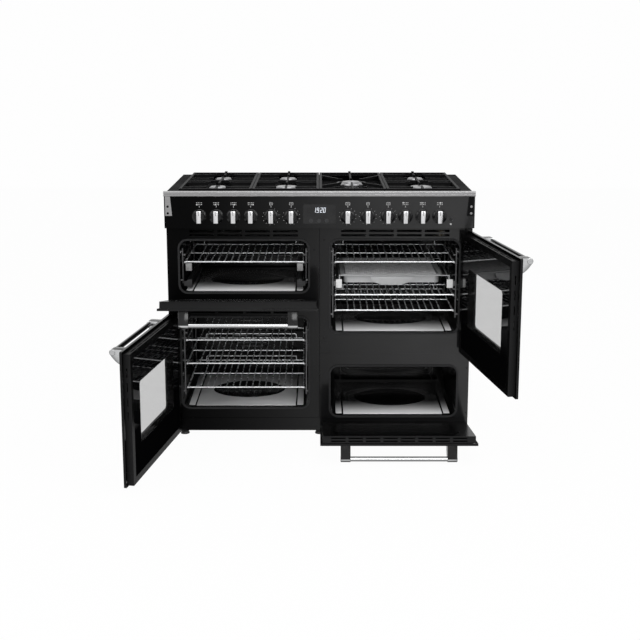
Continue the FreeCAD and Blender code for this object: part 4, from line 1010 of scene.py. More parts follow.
# ---------------------------------------------------------------- the cooker
# Sizes are in millimetres: X to the right, Y from the front frame towards the back, Z up from the floor.
COOKER = "cooker"
DOOR_MIDDLE = 274.75
OVEN_MIDDLE = 272.5
DOOR_FACE = -56.0
FRAME_FACE = -20.0
FASCIA_FACE = -64.0
KNOB_X = (-425, -365, -304, -243, -171.5, -100, 100, 171.5, 243, 304, 365, 425)
GAS_KNOB_X = KNOB_X[:4] + KNOB_X[9:]
OVEN_KNOB_X = KNOB_X[4:9]
KNOB_Z = 829.0
TO_FRONT = (0, -1, 0)


class Side(Enum):
    """The way a door opens."""

    DROP = "drop"
    SWING = "swing"


@dataclass(frozen=True)
class Door:
    """One door's place and pivot, as it is when shut; hand is -1 on the left and 1 on the right."""

    name: str
    side: Side
    hand: int
    bottom: float
    top: float
    angle: float
    hinge_y: float = -50.0
    drop_hinge_rise: float = 14.0
    swing_hinge_x: float = 533.0

    @property
    def body(self) -> str:
        """The body that the door's pieces ride on."""
        return self.name + "_door"

    @property
    def middle(self) -> float:
        """The X of the door's middle."""
        return self.hand * DOOR_MIDDLE

    def opened(self) -> Matrix:
        """Turn the door from shut to its open position of rest.

        Returns:
            The turn.
        """
        if self.side is Side.DROP:
            return turned(self.angle, "X", (0, self.hinge_y, self.bottom + self.drop_hinge_rise))
        return turned(self.angle * self.hand, "Z", (self.hand * self.swing_hinge_x, self.hinge_y, 0))


DOORS = (
    Door("upper_left", Side.DROP, -1, 482, 776, 78),
    Door("upper_right", Side.SWING, 1, 320, 776, 100),
    Door("lower_left", Side.SWING, -1, 20, 476, 100),
    Door("lower_right", Side.DROP, 1, 20, 314, 81),
)


@dataclass(frozen=True)
class Cavity:
    """One oven cavity: the X of its middle, the Z of its floor and its height."""

    name: str
    centre: float
    floor: float
    height: float

    @property
    def liner(self) -> str:
        """The node of the cavity's liner, which is also its material slot."""
        return self.name + "_liner"


CAVITIES = (
    Cavity("upper_left", -OVEN_MIDDLE, 545, 188),
    Cavity("upper_right", OVEN_MIDDLE, 394, 340),
    Cavity("lower_left", -OVEN_MIDDLE, 108, 340),
    Cavity("lower_right", OVEN_MIDDLE, 75, 188),
)


@dataclass
class Body:
    """The cooker's fixed pieces and the grill pan, all carried over from the CAD."""

    finishes: dict[str, Finish] = field(
        default_factory=lambda: {
            "base_frame": FRONT_SHEEN_ENAMEL,
            "levelling_feet": FOOT_PLASTIC,
            "side_panels": SIDE_ENAMEL,
            "back_panel": ZINC_SHEET,
            "front_frame": FRONT_SHEEN_ENAMEL,
            "hob_top": HOB_ENAMEL,
            "front_rail": RAIL_CHROME,
            "fascia_panel": FRONT_SHEEN_ENAMEL,
            "clock_window": CLOCK_GLASS,
            "door_seals": SEAL,
            "shelf_ladders": SHADED_LADDER_CHROME,
            "slide_rails": SHADED_RAIL_STEEL,
            "burner_bases": CAST_ALUMINIUM,
            "burner_crowns": BURNER_CAP,
            "pan_supports": GRATE_IRON,
            "gas_taps": BRASS,
            "fan_cover": LINER_ENAMEL,
            "fan_motor": ZINC_SHEET,
            "fan_wheel": SHADED_RAIL_STEEL,
            "grill_pan": PAN_ENAMEL,
            "igniter_button": KNOB_BLACK,
        }
    )

    def dress(self) -> None:
        """Give each carried-over node its finish."""
        for name, finish in self.finishes.items():
            dress_nodes(finish, name)
        dress_nodes(LINER_ENAMEL, *(cavity.liner for cavity in CAVITIES))
        LOG.info("dressed %d carried-over nodes", len(self.finishes) + len(CAVITIES))


@dataclass
class DoorSet:
    """The four doors: carried-over sheets and glass, new handles and a printed border on the inner glass."""

    handle_length: float = 403.0
    bar_radius: float = 8.5
    bar_inset: float = 8.0
    reach: float = 50.0
    drop: float = 24.0
    sleeve: tuple[tuple[float, float], ...] = ((9, 0), (10.8, 1.4), (10.8, 30), (9, 31.4))
    sleeve_overlap: float = 0.6
    post_width: float = 34.0
    post_edge: float = 1.2
    nose: float = 11.0
    nose_turn: float = 140.0
    nose_skin: float = 1.5
    nose_steps: int = 8
    foot_drop: float = 74.0
    foot_sag: float = 5.0
    foot_steps: int = 6
    glass: tuple[float, float] = (2.5, 547.0)
    glass_back: float = -25.2
    print_margin: float = 30.3
    print_thickness: float = 0.2
    window: tuple[float, float] = (356.0, 210.0)
    window_corner: float = 10.0

    def bar(self, door: Door) -> tuple[float, float]:
        """The Y and Z of the bar's middle line on the shut door."""
        return DOOR_FACE - self.reach, door.top - self.drop

    def post(self, name: str, low: float, door: Door) -> bpy.types.Object:
        """Shape one swept post by extruding its side outline.

        Args:
            name: The post's name.
            low: The X of its left face.
            door: The door that it stands on.

        Returns:
            The post, as it stands on the shut door.
        """
        bar_y, bar_z = self.bar(door)
        outline: list[Point] = [(low, DOOR_FACE, bar_z + self.nose)]
        for step in range(self.nose_steps + 1):
            angle = math.radians(90 + self.nose_turn * step / self.nose_steps)
            outline.append((low, bar_y + self.nose * math.cos(angle), bar_z + self.nose * math.sin(angle)))
        start, end = Vector(outline[-1]), Vector((low, DOOR_FACE, door.top - self.foot_drop))
        for step in range(1, self.foot_steps + 1):
            t = step / self.foot_steps
            sag = self.foot_sag * math.sin(math.pi * t)
            outline.append(tuple(start.lerp(end, t) - Vector((0, sag, sag))))
        return bevelled(extruded(name, outline, (self.post_width, 0, 0)), self.post_edge, 2, 50)

    def handle(self, door: Door) -> bpy.types.Object:
        """Build a handle on the shut door and turn it open with the door.

        Args:
            door: The door that it belongs to.

        Returns:
            The finished handle.
        """
        name = door.name + "_bar_handle"
        bar_y, bar_z = self.bar(door)
        left, right = door.middle - self.handle_length / 2, door.middle + self.handle_length / 2
        ends = [(left + self.bar_inset, bar_y, bar_z), (right - self.bar_inset, bar_y, bar_z)]
        bar = rod("bar", self.bar_radius, *ends, 40)
        posts = [self.post("post_left", left, door), self.post("post_right", right - self.post_width, door)]
        piece = dress(join(name, posts), CHROME)
        piece.data.materials.append(ARM_BLACK.build())
        for polygon in piece.data.polygons:
            from_bar = Vector((0, polygon.center.y / MM - bar_y, polygon.center.z / MM - bar_z)).length
            is_cheek = abs(polygon.normal.x) > 0.7
            polygon.material_index = 0 if is_cheek or from_bar < self.nose + self.nose_skin else 1
        sleeves = [
            dress(lathe("sleeve", self.sleeve, (x, bar_y, bar_z), (hand, 0, 0)), CHROME)
            for x, hand in ((left - self.sleeve_overlap, 1), (right + self.sleeve_overlap, -1))
        ]
        piece = join(name, [piece, dress(bar, CHROME)] + sleeves)
        piece.data.transform(door.opened())
        return mount(smooth(piece, 32), door.body, door.body + "_handle", door.body + "_handle")

    def glass_print(self, door: Door) -> bpy.types.Object:
        """Lay the printed dark border round the window on the inner glass.

        Args:
            door: The tall door that it belongs to.

        Returns:
            The printed border.
        """
        y, margin = self.glass_back, self.print_margin
        x0, x1 = sorted(door.hand * edge for edge in self.glass)
        low = (x0 + margin, y - self.print_thickness, door.bottom + margin)
        sheet = box(door.name + "_glass_print", low, (x1 - margin, y, door.top - margin))
        x, z = door.middle, (door.bottom + door.top) / 2
        half_x, half_z = self.window[0] / 2, self.window[1] / 2
        hole = box("hole", (x - half_x, y - CUT_DEPTH, z - half_z), (x + half_x, y + CUT_DEPTH, z + half_z))
        carve(sheet, bevelled(hole, self.window_corner, 4, CORNER_ANGLE))
        sheet.data.transform(door.opened())
        # The print's coat is a painted reflection on its upper part.
        dress(sheet, HIGH_PRINT_SHEEN if door.hand > 0 else LOW_PRINT_SHEEN)
        return mount(sheet, door.body, door.body + "_glass")

    def build(self) -> None:
        """Dress the carried-over sheets and add handles and printed borders."""
        for door in DOORS:
            dress_nodes(DOOR_ENAMEL, door.body + "_panel")
            # The trays' lighter free edges are painted light.
            dress_nodes(SWING_LIT_EDGE_ENAMEL if door.side is Side.SWING else FLAP_LIT_EDGE_ENAMEL, door.body + "_tray")
            self.handle(door)
            if door.side is Side.SWING:
                dress_nodes(CLEAR_GLASS, door.body + "_glass", door.body + "_window")
                self.glass_print(door)


@dataclass
class Knobs:
    """Twelve knobs: a black skirt with a bright collar, a grip and a pointer line."""

    face: float = FASCIA_FACE - 0.6
    skirt: tuple[tuple[float, float], ...] = ((24, 0), (26, 0.6), (26, 2.4), (25, 3.6), (20, 5), (19, 6))
    collar: tuple[tuple[float, float], ...] = ((18.4, 4), (18.4, 11), (17.6, 12.6), (16, 13))
    grip_half: tuple[float, float] = (10.5, 24.0)
    grip_reach: tuple[float, float] = (4.0, 29.6)
    grip_pinch: tuple[float, float] = (0.82, 0.95)
    grip_edge: float = 2.6
    line_half: float = 0.8
    line_reach: tuple[float, float] = (29.2, 29.9)
    line_rise: tuple[float, float] = (6.0, 21.0)
    spindle_radius: float = 4.0
    spindle_length: float = 26.0

    def pattern(self) -> list[bpy.types.Object]:
        """Model one knob at X 0.

        Returns:
            The skirt with its collar, the grip and the pointer line.
        """
        y, z = self.face, KNOB_Z
        skirt = lathe("skirt", self.skirt, (0, y, z), TO_FRONT)
        collar = lathe("collar", self.collar, (0, y, z), TO_FRONT)
        half_x, half_z = self.grip_half
        back, front = self.grip_reach
        grip = self.pinched(box("grip", (-half_x, y - front, z - half_z), (half_x, y - back, z + half_z)))
        (back, front), (low, high) = self.line_reach, self.line_rise
        line = box("line", (-self.line_half, y - front, z + low), (self.line_half, y - back, z + high))
        spindle = rod("spindle", self.spindle_radius, (0, y - 1, z), (0, y + self.spindle_length, z), 20)
        return [
            smooth(join("knob_skirt", [skirt, collar, spindle])),
            smooth(join("knob_grip", [bevelled(grip, self.grip_edge, 3)])),
            line,
        ]

    def pinched(self, grip: bpy.types.Object) -> bpy.types.Object:
        """Narrow the grip's front face, as the real one's is.

        Args:
            grip: The plain block of the grip.

        Returns:
            The same piece, tapered.
        """
        pick(grip)
        bpy.ops.object.mode_set(mode="EDIT")
        bpy.ops.mesh.select_all(action="DESELECT")
        bpy.ops.object.mode_set(mode="OBJECT")
        front = min(vertex.co.y for vertex in grip.data.vertices)
        for polygon in grip.data.polygons:
            polygon.select = all(abs(grip.data.vertices[i].co.y - front) < MM for i in polygon.vertices)
        bpy.ops.object.mode_set(mode="EDIT")
        across, upright = self.grip_pinch
        bpy.ops.transform.resize(value=(across, 1, upright), center_override=(0, front, KNOB_Z * MM))
        bpy.ops.object.mode_set(mode="OBJECT")
        return grip

    def build(self) -> None:
        """Copy the pattern knob to the twelve places."""
        parts = self.pattern()
        skirt, grip, line = parts
        for number, x in enumerate(KNOB_X, 1):
            node = f"knob_{number}"
            for part, finish in ((skirt, KNOB_BLACK), (grip, KNOB_METAL), (line, KNOB_BLACK)):
                piece = copied(part, f"{node}_{part.name.split('_')[-1]}", moved(x))
                mount(dress(piece, finish), node, node, *([node] if part is skirt else []))
        for part in parts:
            bpy.data.objects.remove(part)


@dataclass
class FasciaPrint:
    """The white signs over the knobs, the clock's digits, its touch spots and the round button's ring and dot."""

    thickness: float = 0.3
    gap: float = 0.05
    sign_z: float = 874.0
    dot_pitch: tuple[float, float] = (5.6, 6.4)
    dot_half: tuple[float, float] = (1.3, 2.3)
    stem: tuple[float, float] = (-13.5, -7.0)
    stem_half: float = 0.7
    outline_width: float = 1.2
    outline_half: float = 5.0
    outline_lengths: tuple[float, ...] = (12.0, 14.0, 16.0)
    tick_count: int = 11
    tick_turn: tuple[float, float] = (25.0, 27.0)
    tick_rise: tuple[float, float] = (28.5, 31.2)
    tick_half: float = 0.45
    digit: tuple[float, float] = (7.8, 18.0)
    stroke: float = 1.8
    skew: float = 0.12
    clock_z: float = 842.0
    digits: dict[float, str] = field(default_factory=lambda: {-22.0: "1", -10.6: "9", 1.6: "2", 12.6: "0"})
    segments: dict[str, str] = field(
        default_factory=lambda: {"0": "abcdef", "1": "bc", "2": "abged", "9": "abcdfg"}
    )
    disc_gap: float = 0.02
    spots: tuple[float, ...] = (-30, -2, 26)
    spot_z: float = 813.0
    spot_radius: float = 7.5
    spot_proud: float = 0.2
    button: tuple[float, float] = (465.0, 819.0)
    button_ring: tuple[tuple[float, float], ...] = ((7.4, 0), (9.6, 0), (9.2, 1.2), (7.6, 1.2))
    button_dot_z: float = 801.0
    button_dot_radius: float = 3.2
    button_dot_proud: float = 0.4

    def mark(self, x0: float, x1: float, z0: float, z1: float) -> bpy.types.Object:
        """One flat printed mark on the fascia."""
        return box("mark", (x0, FASCIA_FACE - self.thickness, z0), (x1, FASCIA_FACE - self.gap, z1))

    def disc(self, name: str, radius: float, x: float, z: float, proud: float, sides: int) -> bpy.types.Object:
        """One round printed mark on the fascia."""
        return rod(name, radius, (x, FASCIA_FACE - proud, z), (x, FASCIA_FACE - self.disc_gap, z), sides)

    def stem_mark(self, x: float) -> bpy.types.Object:
        """The short stem between a sign and its knob."""
        low, high = self.stem
        return self.mark(x - self.stem_half, x + self.stem_half, self.sign_z + low, self.sign_z + high)

    def burner_sign(self, x: float, number: int) -> list[bpy.types.Object]:
        """Two rows of four dots, one of them larger, over a stem.

        Args:
            x: The X of the knob below.
            number: Which dot is the larger one.

        Returns:
            The marks.
        """
        marks = []
        for place in range(8):
            column, row = place % 4, place // 4
            half = self.dot_half[place == number]
            centre_x = x + (column - 1.5) * self.dot_pitch[0]
            centre_z = self.sign_z + (row - 0.5) * self.dot_pitch[1]
            marks.append(self.mark(centre_x - half, centre_x + half, centre_z - half, centre_z + half))
        return marks + [self.stem_mark(x)]

    def oven_sign(self, x: float, width: float) -> list[bpy.types.Object]:
        """A small oven outline over a stem, with a dial of ticks round the knob.

        Args:
            x: The X of the knob below.
            width: The width of the outline.

        Returns:
            The marks.
        """
        half, line = width / 2, self.outline_width
        low, high = self.sign_z - self.outline_half, self.sign_z + self.outline_half
        marks = [
            self.mark(x - half, x + half, high - line, high),
            self.mark(x - half, x + half, low, low + line),
            self.mark(x - half, x - half + line, low, high),
            self.mark(x + half - line, x + half, low, high),
            self.mark(x - half / 2, x + half / 2, self.sign_z - line / 2, self.sign_z + line / 2),
            self.stem_mark(x),
        ]
        (first, pitch), (inner, outer) = self.tick_turn, self.tick_rise
        for step in range(self.tick_count):
            tick = self.mark(x - self.tick_half, x + self.tick_half, KNOB_Z + inner, KNOB_Z + outer)
            tick.data.transform(turned(-first - pitch * step, "Y", (x, 0, KNOB_Z)).inverted())
            marks.append(tick)
        return marks

    def shown_digit(self, sign: str, x: float, z: float) -> list[bpy.types.Object]:
        """One seven-stroke digit.

        Args:
            sign: The digit.
            x: Its left edge.
            z: Its lower edge.

        Returns:
            Its strokes.
        """
        width, height = self.digit
        thick, middle = self.stroke, height / 2
        strokes = {
            "a": (0, width, height - thick, height),
            "b": (width - thick, width, middle, height),
            "c": (width - thick, width, 0, middle),
            "d": (0, width, 0, thick),
            "e": (0, thick, 0, middle),
            "f": (0, thick, middle, height),
            "g": (0, width, middle - thick / 2, middle + thick / 2),
        }
        shown = []
        for name in self.segments[sign]:
            x0, x1, z0, z1 = strokes[name]
            shown.append(self.mark(x + x0, x + x1, z + z0, z + z1))
        return shown

    def clock(self) -> bpy.types.Object:
        """The clock's four digits, leaning a little.

        Returns:
            The joined digits.
        """
        strokes = [stroke for x, sign in self.digits.items() for stroke in self.shown_digit(sign, x, self.clock_z)]
        piece = join("clock_digits", strokes)
        lean = Matrix.Identity(4)
        lean[0][2] = self.skew
        about = moved(0, 0, self.clock_z)
        piece.data.transform(about @ lean @ about.inverted())
        return piece

    def build(self) -> None:
        """Lay all the print and the button's ring on the fascia."""
        marks: list[bpy.types.Object] = []
        for number, x in enumerate(GAS_KNOB_X):
            marks += self.burner_sign(x, number)
        for number, x in enumerate(OVEN_KNOB_X):
            marks += self.oven_sign(x, self.outline_lengths[number % len(self.outline_lengths)])
        mount(dress(join("fascia_signs", marks), WHITE_PRINT), COOKER, "fascia_panel")
        mount(dress(self.clock(), DIGIT_GLOW), COOKER, "clock_window")
        spots = [self.disc("spot", self.spot_radius, x, self.spot_z, self.spot_proud, 32) for x in self.spots]
        mount(dress(join("touch_spots", spots), GREY_PRINT), COOKER, "clock_window")
        x, z = self.button
        ring = lathe("button_ring", self.button_ring, (x, FASCIA_FACE, z), TO_FRONT)
        mount(dress(smooth(ring), GREY_PRINT), COOKER, "fascia_panel")
        dot = self.disc("button_dot", self.button_dot_radius, x, self.button_dot_z, self.button_dot_proud, 24)
        mount(dress(dot, WHITE_PRINT), COOKER, "fascia_panel")


@dataclass
class OvenFittings:
    """What lies in the cavities: floor plates, pressed rear frames, elements, lamps, rail ends, pan mesh and pull."""

    plate_half: float = 184.0
    plate_front: float = -6.0
    plate_back: float = 376.0
    plate_top: float = 2.4
    plate_edge: float = 1.6
    strip: tuple[float, float] = (190.0, 221.0)
    strip_front: float = 2.0
    strip_top: float = 1.6
    strip_edge: float = 1.2
    lift: float = 0.2
    dish: tuple[float, float] = (138.0, 103.0)
    dish_y: float = 190.0
    dish_cut: float = 5.0
    dome: tuple[tuple[float, float], ...] = ((133, 2.6), (131, 4.4), (124, 5.4), (60, 6.2), (2, 6.4))
    dome_squeeze: float = 0.74
    rear_y: float = 399.6
    rear_half: float = 190.0
    rear_low: float = 28.0
    rear_high: float = 24.0
    rear_corner: float = 32.0
    rear_insets: tuple[float, float] = (0.0, 22.0)
    rear_line: float = 3.0
    rear_proud: float = 2.0
    element_half: float = 170.0
    element_runs: int = 8
    element_y: tuple[float, float, float] = (60.0, 360.0, 399.0)
    element_drop: float = 13.0
    element_radius: float = 3.2
    element_bend: float = 20.0
    lamp_x: float = 150.0
    lamp_drop: float = 52.0
    lamp_cover: tuple[tuple[float, float], ...] = ((22, 0), (21, 4), (17, 7), (8, 8.5))
    tall: float = 200.0
    end_x: tuple[float, float] = (191.0, 213.2)
    end_y: tuple[float, float] = (-3.4, 5.0)
    end_edge: float = 1.2
    pan_middle: tuple[float, float] = (262.5, 164.0)
    mesh_size: tuple[float, float] = (334.0, 284.0)
    mesh_cells: tuple[int, int] = (40, 34)
    mesh_z: float = 596.0
    mesh_wire: float = 1.8
    pull_y: float = 1.2
    pull_z: tuple[float, float] = (576.0, 597.0)
    pull_half: tuple[float, float, float] = (66.0, 70.0, 78.0)
    pull_sag: float = 11.0
    pull_steps: int = 12
    pull_thickness: float = 2.7
    pull_edge: float = 0.7
    pull_shoulder: float = 4.0

    def floor(self, cavity: Cavity) -> None:
        """Lay the pressed floor plate with its oval dome and the strips beside it.

        Args:
            cavity: The cavity that they lie in.
        """
        x, z, half = cavity.centre, cavity.floor, self.plate_half
        low, high = (x - half, self.plate_front, z + self.lift), (x + half, self.plate_back, z + self.plate_top)
        plate = box("plate", low, high)
        hole = oval("hole", self.dish, (x, self.dish_y, z - self.dish_cut), 4 * self.dish_cut)
        plate = carve(bevelled(plate, self.plate_edge, 2), hole)
        strips = []
        for side in (-1, 1):
            x0, x1 = sorted(x + side * edge for edge in self.strip)
            strip = box("strip", (x0, self.strip_front, z + self.lift), (x1, self.plate_back, z + self.strip_top))
            strips.append(bevelled(strip, self.strip_edge, 2))
        piece = smooth(join(cavity.name + "_floor_plate", [plate] + strips))
        # The floor plates carry painted light: the lower left one is evenly lit, the others are lit at the front and
        # shaded towards the back.
        finish = EVENLY_LIT_FLOOR if cavity.name == "lower_left" else LIT_FRONT_FLOOR_ENAMEL
        mount(dress(piece, finish), COOKER, cavity.liner)
        dome = lathe("dome", self.dome, (0, 0, 0), (0, 0, 1), 72)
        dome.scale = (1, self.dome_squeeze, 1)
        settle(dome, cavity.name + "_floor_dome")
        dome.data.transform(moved(x, self.dish_y, z))
        mount(dress(smooth(dome), DOME_ENAMEL), COOKER, cavity.liner)

    def rear_frame(self, cavity: Cavity) -> None:
        """Press a rounded frame of two rings into the rear wall.

        Args:
            cavity: The cavity whose rear wall it is.
        """
        rings = []
        for inset in self.rear_insets:
            half = self.rear_half - inset
            low = (cavity.centre - half, self.rear_y - self.rear_proud, cavity.floor + self.rear_low + inset)
            high = (cavity.centre + half, self.rear_y, cavity.floor + cavity.height - self.rear_high - inset)
            rings.append(ring_plate("ring", low, high, self.rear_line, self.rear_corner - inset / 2))
        piece = smooth(join(cavity.name + "_rear_frame", rings))
        # The rings' lighter colour is a painted highlight.
        mount(dress(piece, PRESS_LINE_HIGHLIGHT), COOKER, cavity.liner)

    def element(self, cavity: Cavity) -> None:
        """Bend the grill element under a cavity's ceiling.

        Args:
            cavity: The cavity that it heats.
        """
        x, z, half = cavity.centre, cavity.floor + cavity.height - self.element_drop, self.element_half
        front, back, wall = self.element_y
        corners: list[Point] = [(x - half, wall, z)]
        for number in range(self.element_runs):
            line = x - half + number * 2 * half / (self.element_runs - 1)
            ends = (back, front) if number % 2 == 0 else (front, back)
            corners += [(line, ends[0], z), (line, ends[1], z)]
        corners.append((x + half, wall, z))
        path = rounded_path(corners, self.element_bend, 4)
        piece = wire(cavity.name + "_element", path, self.element_radius, 8)
        mount(dress(smooth(piece, 60), ELEMENT_METAL), COOKER, cavity.liner)

    def lamp(self, cavity: Cavity) -> None:
        """Set the round oven lamp's cover into the rear wall.

        Args:
            cavity: The cavity that it lights.
        """
        place = (cavity.centre + self.lamp_x, self.rear_y, cavity.floor + cavity.height - self.lamp_drop)
        cover = lathe(cavity.name + "_lamp", self.lamp_cover, place, TO_FRONT, 36)
        mount(dress(smooth(cover), LAMP_GLASS), COOKER, cavity.liner)

    def rail_ends(self) -> None:
        """Put pale caps on the upper right slide rails and stop blocks on the upper left ladders."""
        for name, centre, low, high, finish in (
            ("rail_end_caps", OVEN_MIDDLE, 555.2, 586.8, RAIL_CAP),
            ("ladder_stop_blocks", -OVEN_MIDDLE, 619.0, 647.5, STOP_STEEL),
        ):
            pieces = []
            for side in (-1, 1):
                x0, x1 = sorted(centre + side * edge for edge in self.end_x)
                block = box("cap", (x0, self.end_y[0], low), (x1, self.end_y[1], high))
                pieces.append(bevelled(block, self.end_edge, 2))
            mount(dress(smooth(join(name, pieces)), finish), COOKER, "slide_rails")

    def pan_mesh(self) -> None:
        """Lay the wire mesh in the grill pan."""
        deselect()
        columns, rows = self.mesh_cells
        bpy.ops.mesh.primitive_grid_add(x_subdivisions=columns, y_subdivisions=rows, size=1)
        sheet = bpy.context.object
        sheet.scale = (self.mesh_size[0] * MM, self.mesh_size[1] * MM, 1)
        x, y = self.pan_middle
        sheet.location = (x * MM, y * MM, self.mesh_z * MM)
        settle(sheet, "pan_mesh")
        modifier = sheet.modifiers.new("wires", "WIREFRAME")
        modifier.thickness = self.mesh_wire * MM
        modifier.use_even_offset = False
        bpy.ops.object.modifier_apply(modifier=modifier.name)
        mount(dress(sheet, MESH_STEEL), "grill_pan", "grill_pan")

    def pan_pull(self) -> None:
        """Hang the curved pull on the grill pan's front."""
        middle, y, (low, top) = self.pan_middle[0], self.pull_y, self.pull_z
        belly, inner, outer = self.pull_half
        shoulder = low + self.pull_shoulder
        outline: list[Point] = [(middle - outer, y, top), (middle - inner, y, shoulder)]
        for step in range(self.pull_steps + 1):
            across = -belly + 2 * belly * step / self.pull_steps
            outline.append((middle + across, y, low - self.pull_sag * (1 - (across / belly) ** 2)))
        outline += [(middle + inner, y, shoulder), (middle + outer, y, top)]
        pull = bevelled(extruded("pan_pull", outline, (0, self.pull_thickness, 0)), self.pull_edge, 2, 30)
        mount(dress(smooth(pull), PAN_ENAMEL), "grill_pan", "grill_pan")

    def build(self) -> None:
        """Fit out all four cavities."""
        for cavity in CAVITIES:
            self.floor(cavity)
            if cavity.name != "lower_left":
                self.rear_frame(cavity)
            if cavity.name.startswith("upper"):
                self.element(cavity)
            if cavity.height > self.tall:
                self.lamp(cavity)
        self.rail_ends()
        self.pan_mesh()
        self.pan_pull()


@dataclass
class Shelves:
    """Seven wire shelves, drawn with round wires."""

    half: float = 214.0
    front: float = -6.0
    back: float = 344.0
    brace: float = 169.0
    frame_radius: float = 3.0
    rod_radius: float = 2.3
    rod_count: int = 15
    pitch: float = 24.0
    stop: float = 18.0
    stop_bend: float = 8.0
    layer: float = 1.0
    levels: dict[str, tuple[float, ...]] = field(
        default_factory=lambda: {
            "upper_left": (653.0,),
            "upper_right": (653.0, 531.0, 473.0),
            "lower_left": (361.0, 272.0, 180.0),
        }
    )

    def pattern(self) -> bpy.types.Object:
        """Model one shelf about X 0 and Z 0.

        Returns:
            The shelf.
        """
        half, front, back, brace = self.half, self.front, self.back, self.brace
        thick, thin = self.frame_radius, self.rod_radius
        wires = [rod("wire", thick, (-half, y, 0), (half, y, 0), 12) for y in (front, back)]
        wires += [rod("wire", thick, (x, front - thick, 0), (x, back + thick, 0), 12) for x in (-half, half)]
        wires.append(rod("wire", thin, (-half, brace, -self.layer), (half, brace, -self.layer), 10))
        one = rod("wire", thin, (0, front, self.layer), (0, back, self.layer), 10)
        for number in range(self.rod_count):
            wires.append(copied(one, "wire", moved((number - (self.rod_count - 1) / 2) * self.pitch)))
        bpy.data.objects.remove(one)
        end = self.rod_count / 2 * self.pitch
        stop = [(-end, back, 0), (-end, back, self.stop), (end, back, self.stop), (end, back, 0)]
        wires.append(wire("wire", rounded_path(stop, self.stop_bend), thin))
        return smooth(join("shelf", wires), 60)

    def build(self) -> None:
        """Copy the pattern shelf to the seven places."""
        pattern = self.pattern()
        for name, levels in self.levels.items():
            centre = -OVEN_MIDDLE if name.endswith("left") else OVEN_MIDDLE
            for number, level in enumerate(levels, 1):
                node = f"{name}_shelf_{number}"
                piece = copied(pattern, node + "_wires", moved(centre, 0, level))
                mount(dress(piece, WIRE_CHROME), node, node, node)
        bpy.data.objects.remove(pattern)


@dataclass
class FrontTrim:
    """Small things on the front frame: the catch plate's edge and the screws."""

    plate_x: tuple[float, float] = (3.0, 36.0)
    plate_z: tuple[float, float] = (315.5, 360.0)
    plate_proud: float = 0.7
    plate_edge: float = 1.2
    plate_corner: float = 2.0
    screws: tuple[tuple[float, float], ...] = ((17, 736), (-20, 700), (17, 372), (542, 258), (542, 87))
    screw_head: tuple[tuple[float, float], ...] = ((3.4, 0), (3.4, 0.6), (2.4, 1.6))

    def build(self) -> None:
        """Put the plate's edge and the screws on the frame."""
        (x0, x1), (z0, z1) = self.plate_x, self.plate_z
        low, high = (x0, FRAME_FACE - self.plate_proud, z0), (x1, FRAME_FACE, z1)
        plate = ring_plate("catch_plate_edge", low, high, self.plate_edge, self.plate_corner)
        mount(dress(plate, KNOB_BLACK), COOKER, "front_frame")
        heads = [lathe("screw", self.screw_head, (x, FRAME_FACE, z), TO_FRONT, 20) for x, z in self.screws]
        mount(dress(smooth(join("frame_screws", heads)), KNOB_BLACK), COOKER, "front_frame")


# ---------------------------------------------------------------- stage, light and camera
@dataclass(frozen=True)
class Lamp:
    """One soft rectangular light, in metres and watts, and the point that it faces."""

    name: str
    place: Point
    target: Point
    size: tuple[float, float]
    power: float

    def hang(self) -> None:
        """Add the light to the scene."""
        light = bpy.data.lights.new(self.name, "AREA")
        light.shape = "RECTANGLE"
        light.size, light.size_y = self.size
        light.energy = self.power
        holder = bpy.data.objects.new(self.name, light)
        holder.location = self.place
        holder.rotation_euler = (Vector(self.target) - Vector(self.place)).to_track_quat("-Z", "Y").to_euler()
        bpy.context.collection.objects.link(holder)


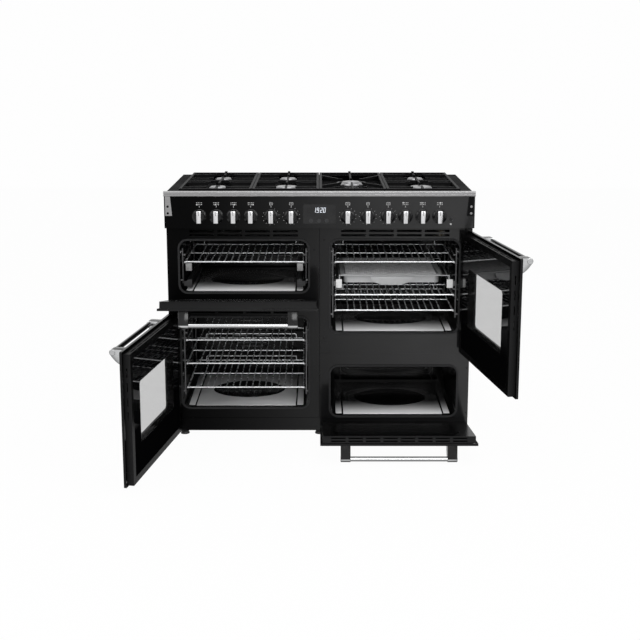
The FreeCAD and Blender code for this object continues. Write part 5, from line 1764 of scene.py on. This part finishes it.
@dataclass
class Studio:
    """The pale floor, the soft lights and the camera at the photograph's place, in metres."""

    eye: Point = (0.0, -3.908, 1.437)
    tilt: float = 11.03
    lens: float = 61.8
    sensor: float = 36.0
    shift: tuple[float, float] = (0.0008, -0.1008)
    room_grey: float = 0.9
    room_strength: float = 0.5
    white_strength: float = 0.99
    floor_size: float = 16.0
    floor_middle: Point = (0.0, -1.0, -0.0005)
    floor_grey: float = 0.86
    floor_roughness: float = 0.7
    floor_white: float = 0.97
    lamps: tuple[Lamp, ...] = (
        Lamp("overhead", (0.2, -1.2, 3.2), (0, -0.1, 0.6), (3.2, 2.4), 44),
        Lamp("left_fill", (-3.0, -2.6, 1.9), (0, 0, 0.5), (1.6, 2.2), 24),
        Lamp("right_fill", (3.0, -2.6, 1.9), (0, 0, 0.5), (1.6, 2.2), 32),
        Lamp("front_fill", (0.4, -4.6, 2.1), (0, 0.2, 0.4), (1.8, 1.0), 44),
    )

    def background(
        self,
        tree: bpy.types.NodeTree,
        white: bpy.types.NodeSocket,
        plain: bpy.types.NodeSocket,
        out: bpy.types.NodeSocket,
    ) -> None:
        """Show white to camera, glossy and transmitted rays, and the plain surface or light to the rest.

        Args:
            tree: The node tree of the floor or the world.
            white: The shader for rays that show the background.
            plain: The shader for all other rays.
            out: The output's surface socket.
        """
        rays = tree.nodes.new("ShaderNodeLightPath")
        seen = rays.outputs["Is Camera Ray"]
        for name in ("Is Glossy Ray", "Is Transmission Ray"):
            either = tree.nodes.new("ShaderNodeMath")
            either.operation = "MAXIMUM"
            tree.links.new(seen, either.inputs[0])
            tree.links.new(rays.outputs[name], either.inputs[1])
            seen = either.outputs[0]
        mix = tree.nodes.new("ShaderNodeMixShader")
        for socket, source in zip(mix.inputs, (seen, plain, white)):
            tree.links.new(source, socket)
        tree.links.new(mix.outputs[0], out)

    def world(self) -> None:
        """Make a soft grey room that shows white behind the cooker."""
        world = bpy.data.worlds.new("soft_room")
        bpy.context.scene.world = world
        world.use_nodes = True
        tree = world.node_tree
        soft, white = tree.nodes["Background"], tree.nodes.new("ShaderNodeBackground")
        for node, level, strength in (
            (soft, self.room_grey, self.room_strength),
            (white, 1.0, self.white_strength),
        ):
            node.inputs["Color"].default_value = (*grey(level), 1)
            node.inputs["Strength"].default_value = strength
        self.background(tree, white.outputs[0], soft.outputs[0], tree.nodes["World Output"].inputs["Surface"])

    def floor(self) -> None:
        """Lay a wide pale floor that keeps a faint shadow."""
        deselect()
        bpy.ops.mesh.primitive_plane_add(size=self.floor_size, location=self.floor_middle)
        plane = settle(bpy.context.object, "floor")
        material = bpy.data.materials.new("pale_floor")
        material.use_nodes = True
        tree = material.node_tree
        shader = tree.nodes["Principled BSDF"]
        shader.inputs["Base Color"].default_value = (*grey(self.floor_grey), 1)
        shader.inputs["Roughness"].default_value = self.floor_roughness
        glow = tree.nodes.new("ShaderNodeEmission")
        glow.inputs["Color"].default_value = (1, 1, 1, 1)
        glow.inputs["Strength"].default_value = 1.0
        faint = tree.nodes.new("ShaderNodeMixShader")
        faint.inputs[0].default_value = self.floor_white
        tree.links.new(shader.outputs[0], faint.inputs[1])
        tree.links.new(glow.outputs[0], faint.inputs[2])
        self.background(tree, faint.outputs[0], shader.outputs[0], tree.nodes["Material Output"].inputs["Surface"])
        plane.data.materials.append(material)

    def camera(self) -> None:
        """Set the camera at the photograph's viewing angle."""
        data = bpy.data.cameras.new("photo_camera")
        data.lens = self.lens
        data.sensor_width = self.sensor
        data.shift_x, data.shift_y = self.shift
        holder = bpy.data.objects.new("photo_camera", data)
        holder.location = self.eye
        holder.rotation_euler = (math.radians(90 - self.tilt), 0, 0)
        bpy.context.collection.objects.link(holder)
        bpy.context.scene.camera = holder

    def build(self) -> None:
        """Make the room, floor, lights and camera."""
        self.world()
        self.floor()
        for lamp in self.lamps:
            lamp.hang()
        self.camera()
        bpy.context.scene.view_settings.view_transform = "Standard"
        LOG.info("studio ready with %d lights", len(self.lamps))


def main() -> None:
    """Build the scene, one sub-assembly after another."""
    logging.basicConfig(level=logging.INFO, format="%(message)s")
    Studio().build()
    Body().dress()
    Shelves().build()
    DoorSet().build()
    Knobs().build()
    FasciaPrint().build()
    OvenFittings().build()
    FrontTrim().build()
    deselect()


if __name__ == "__main__":
    main()
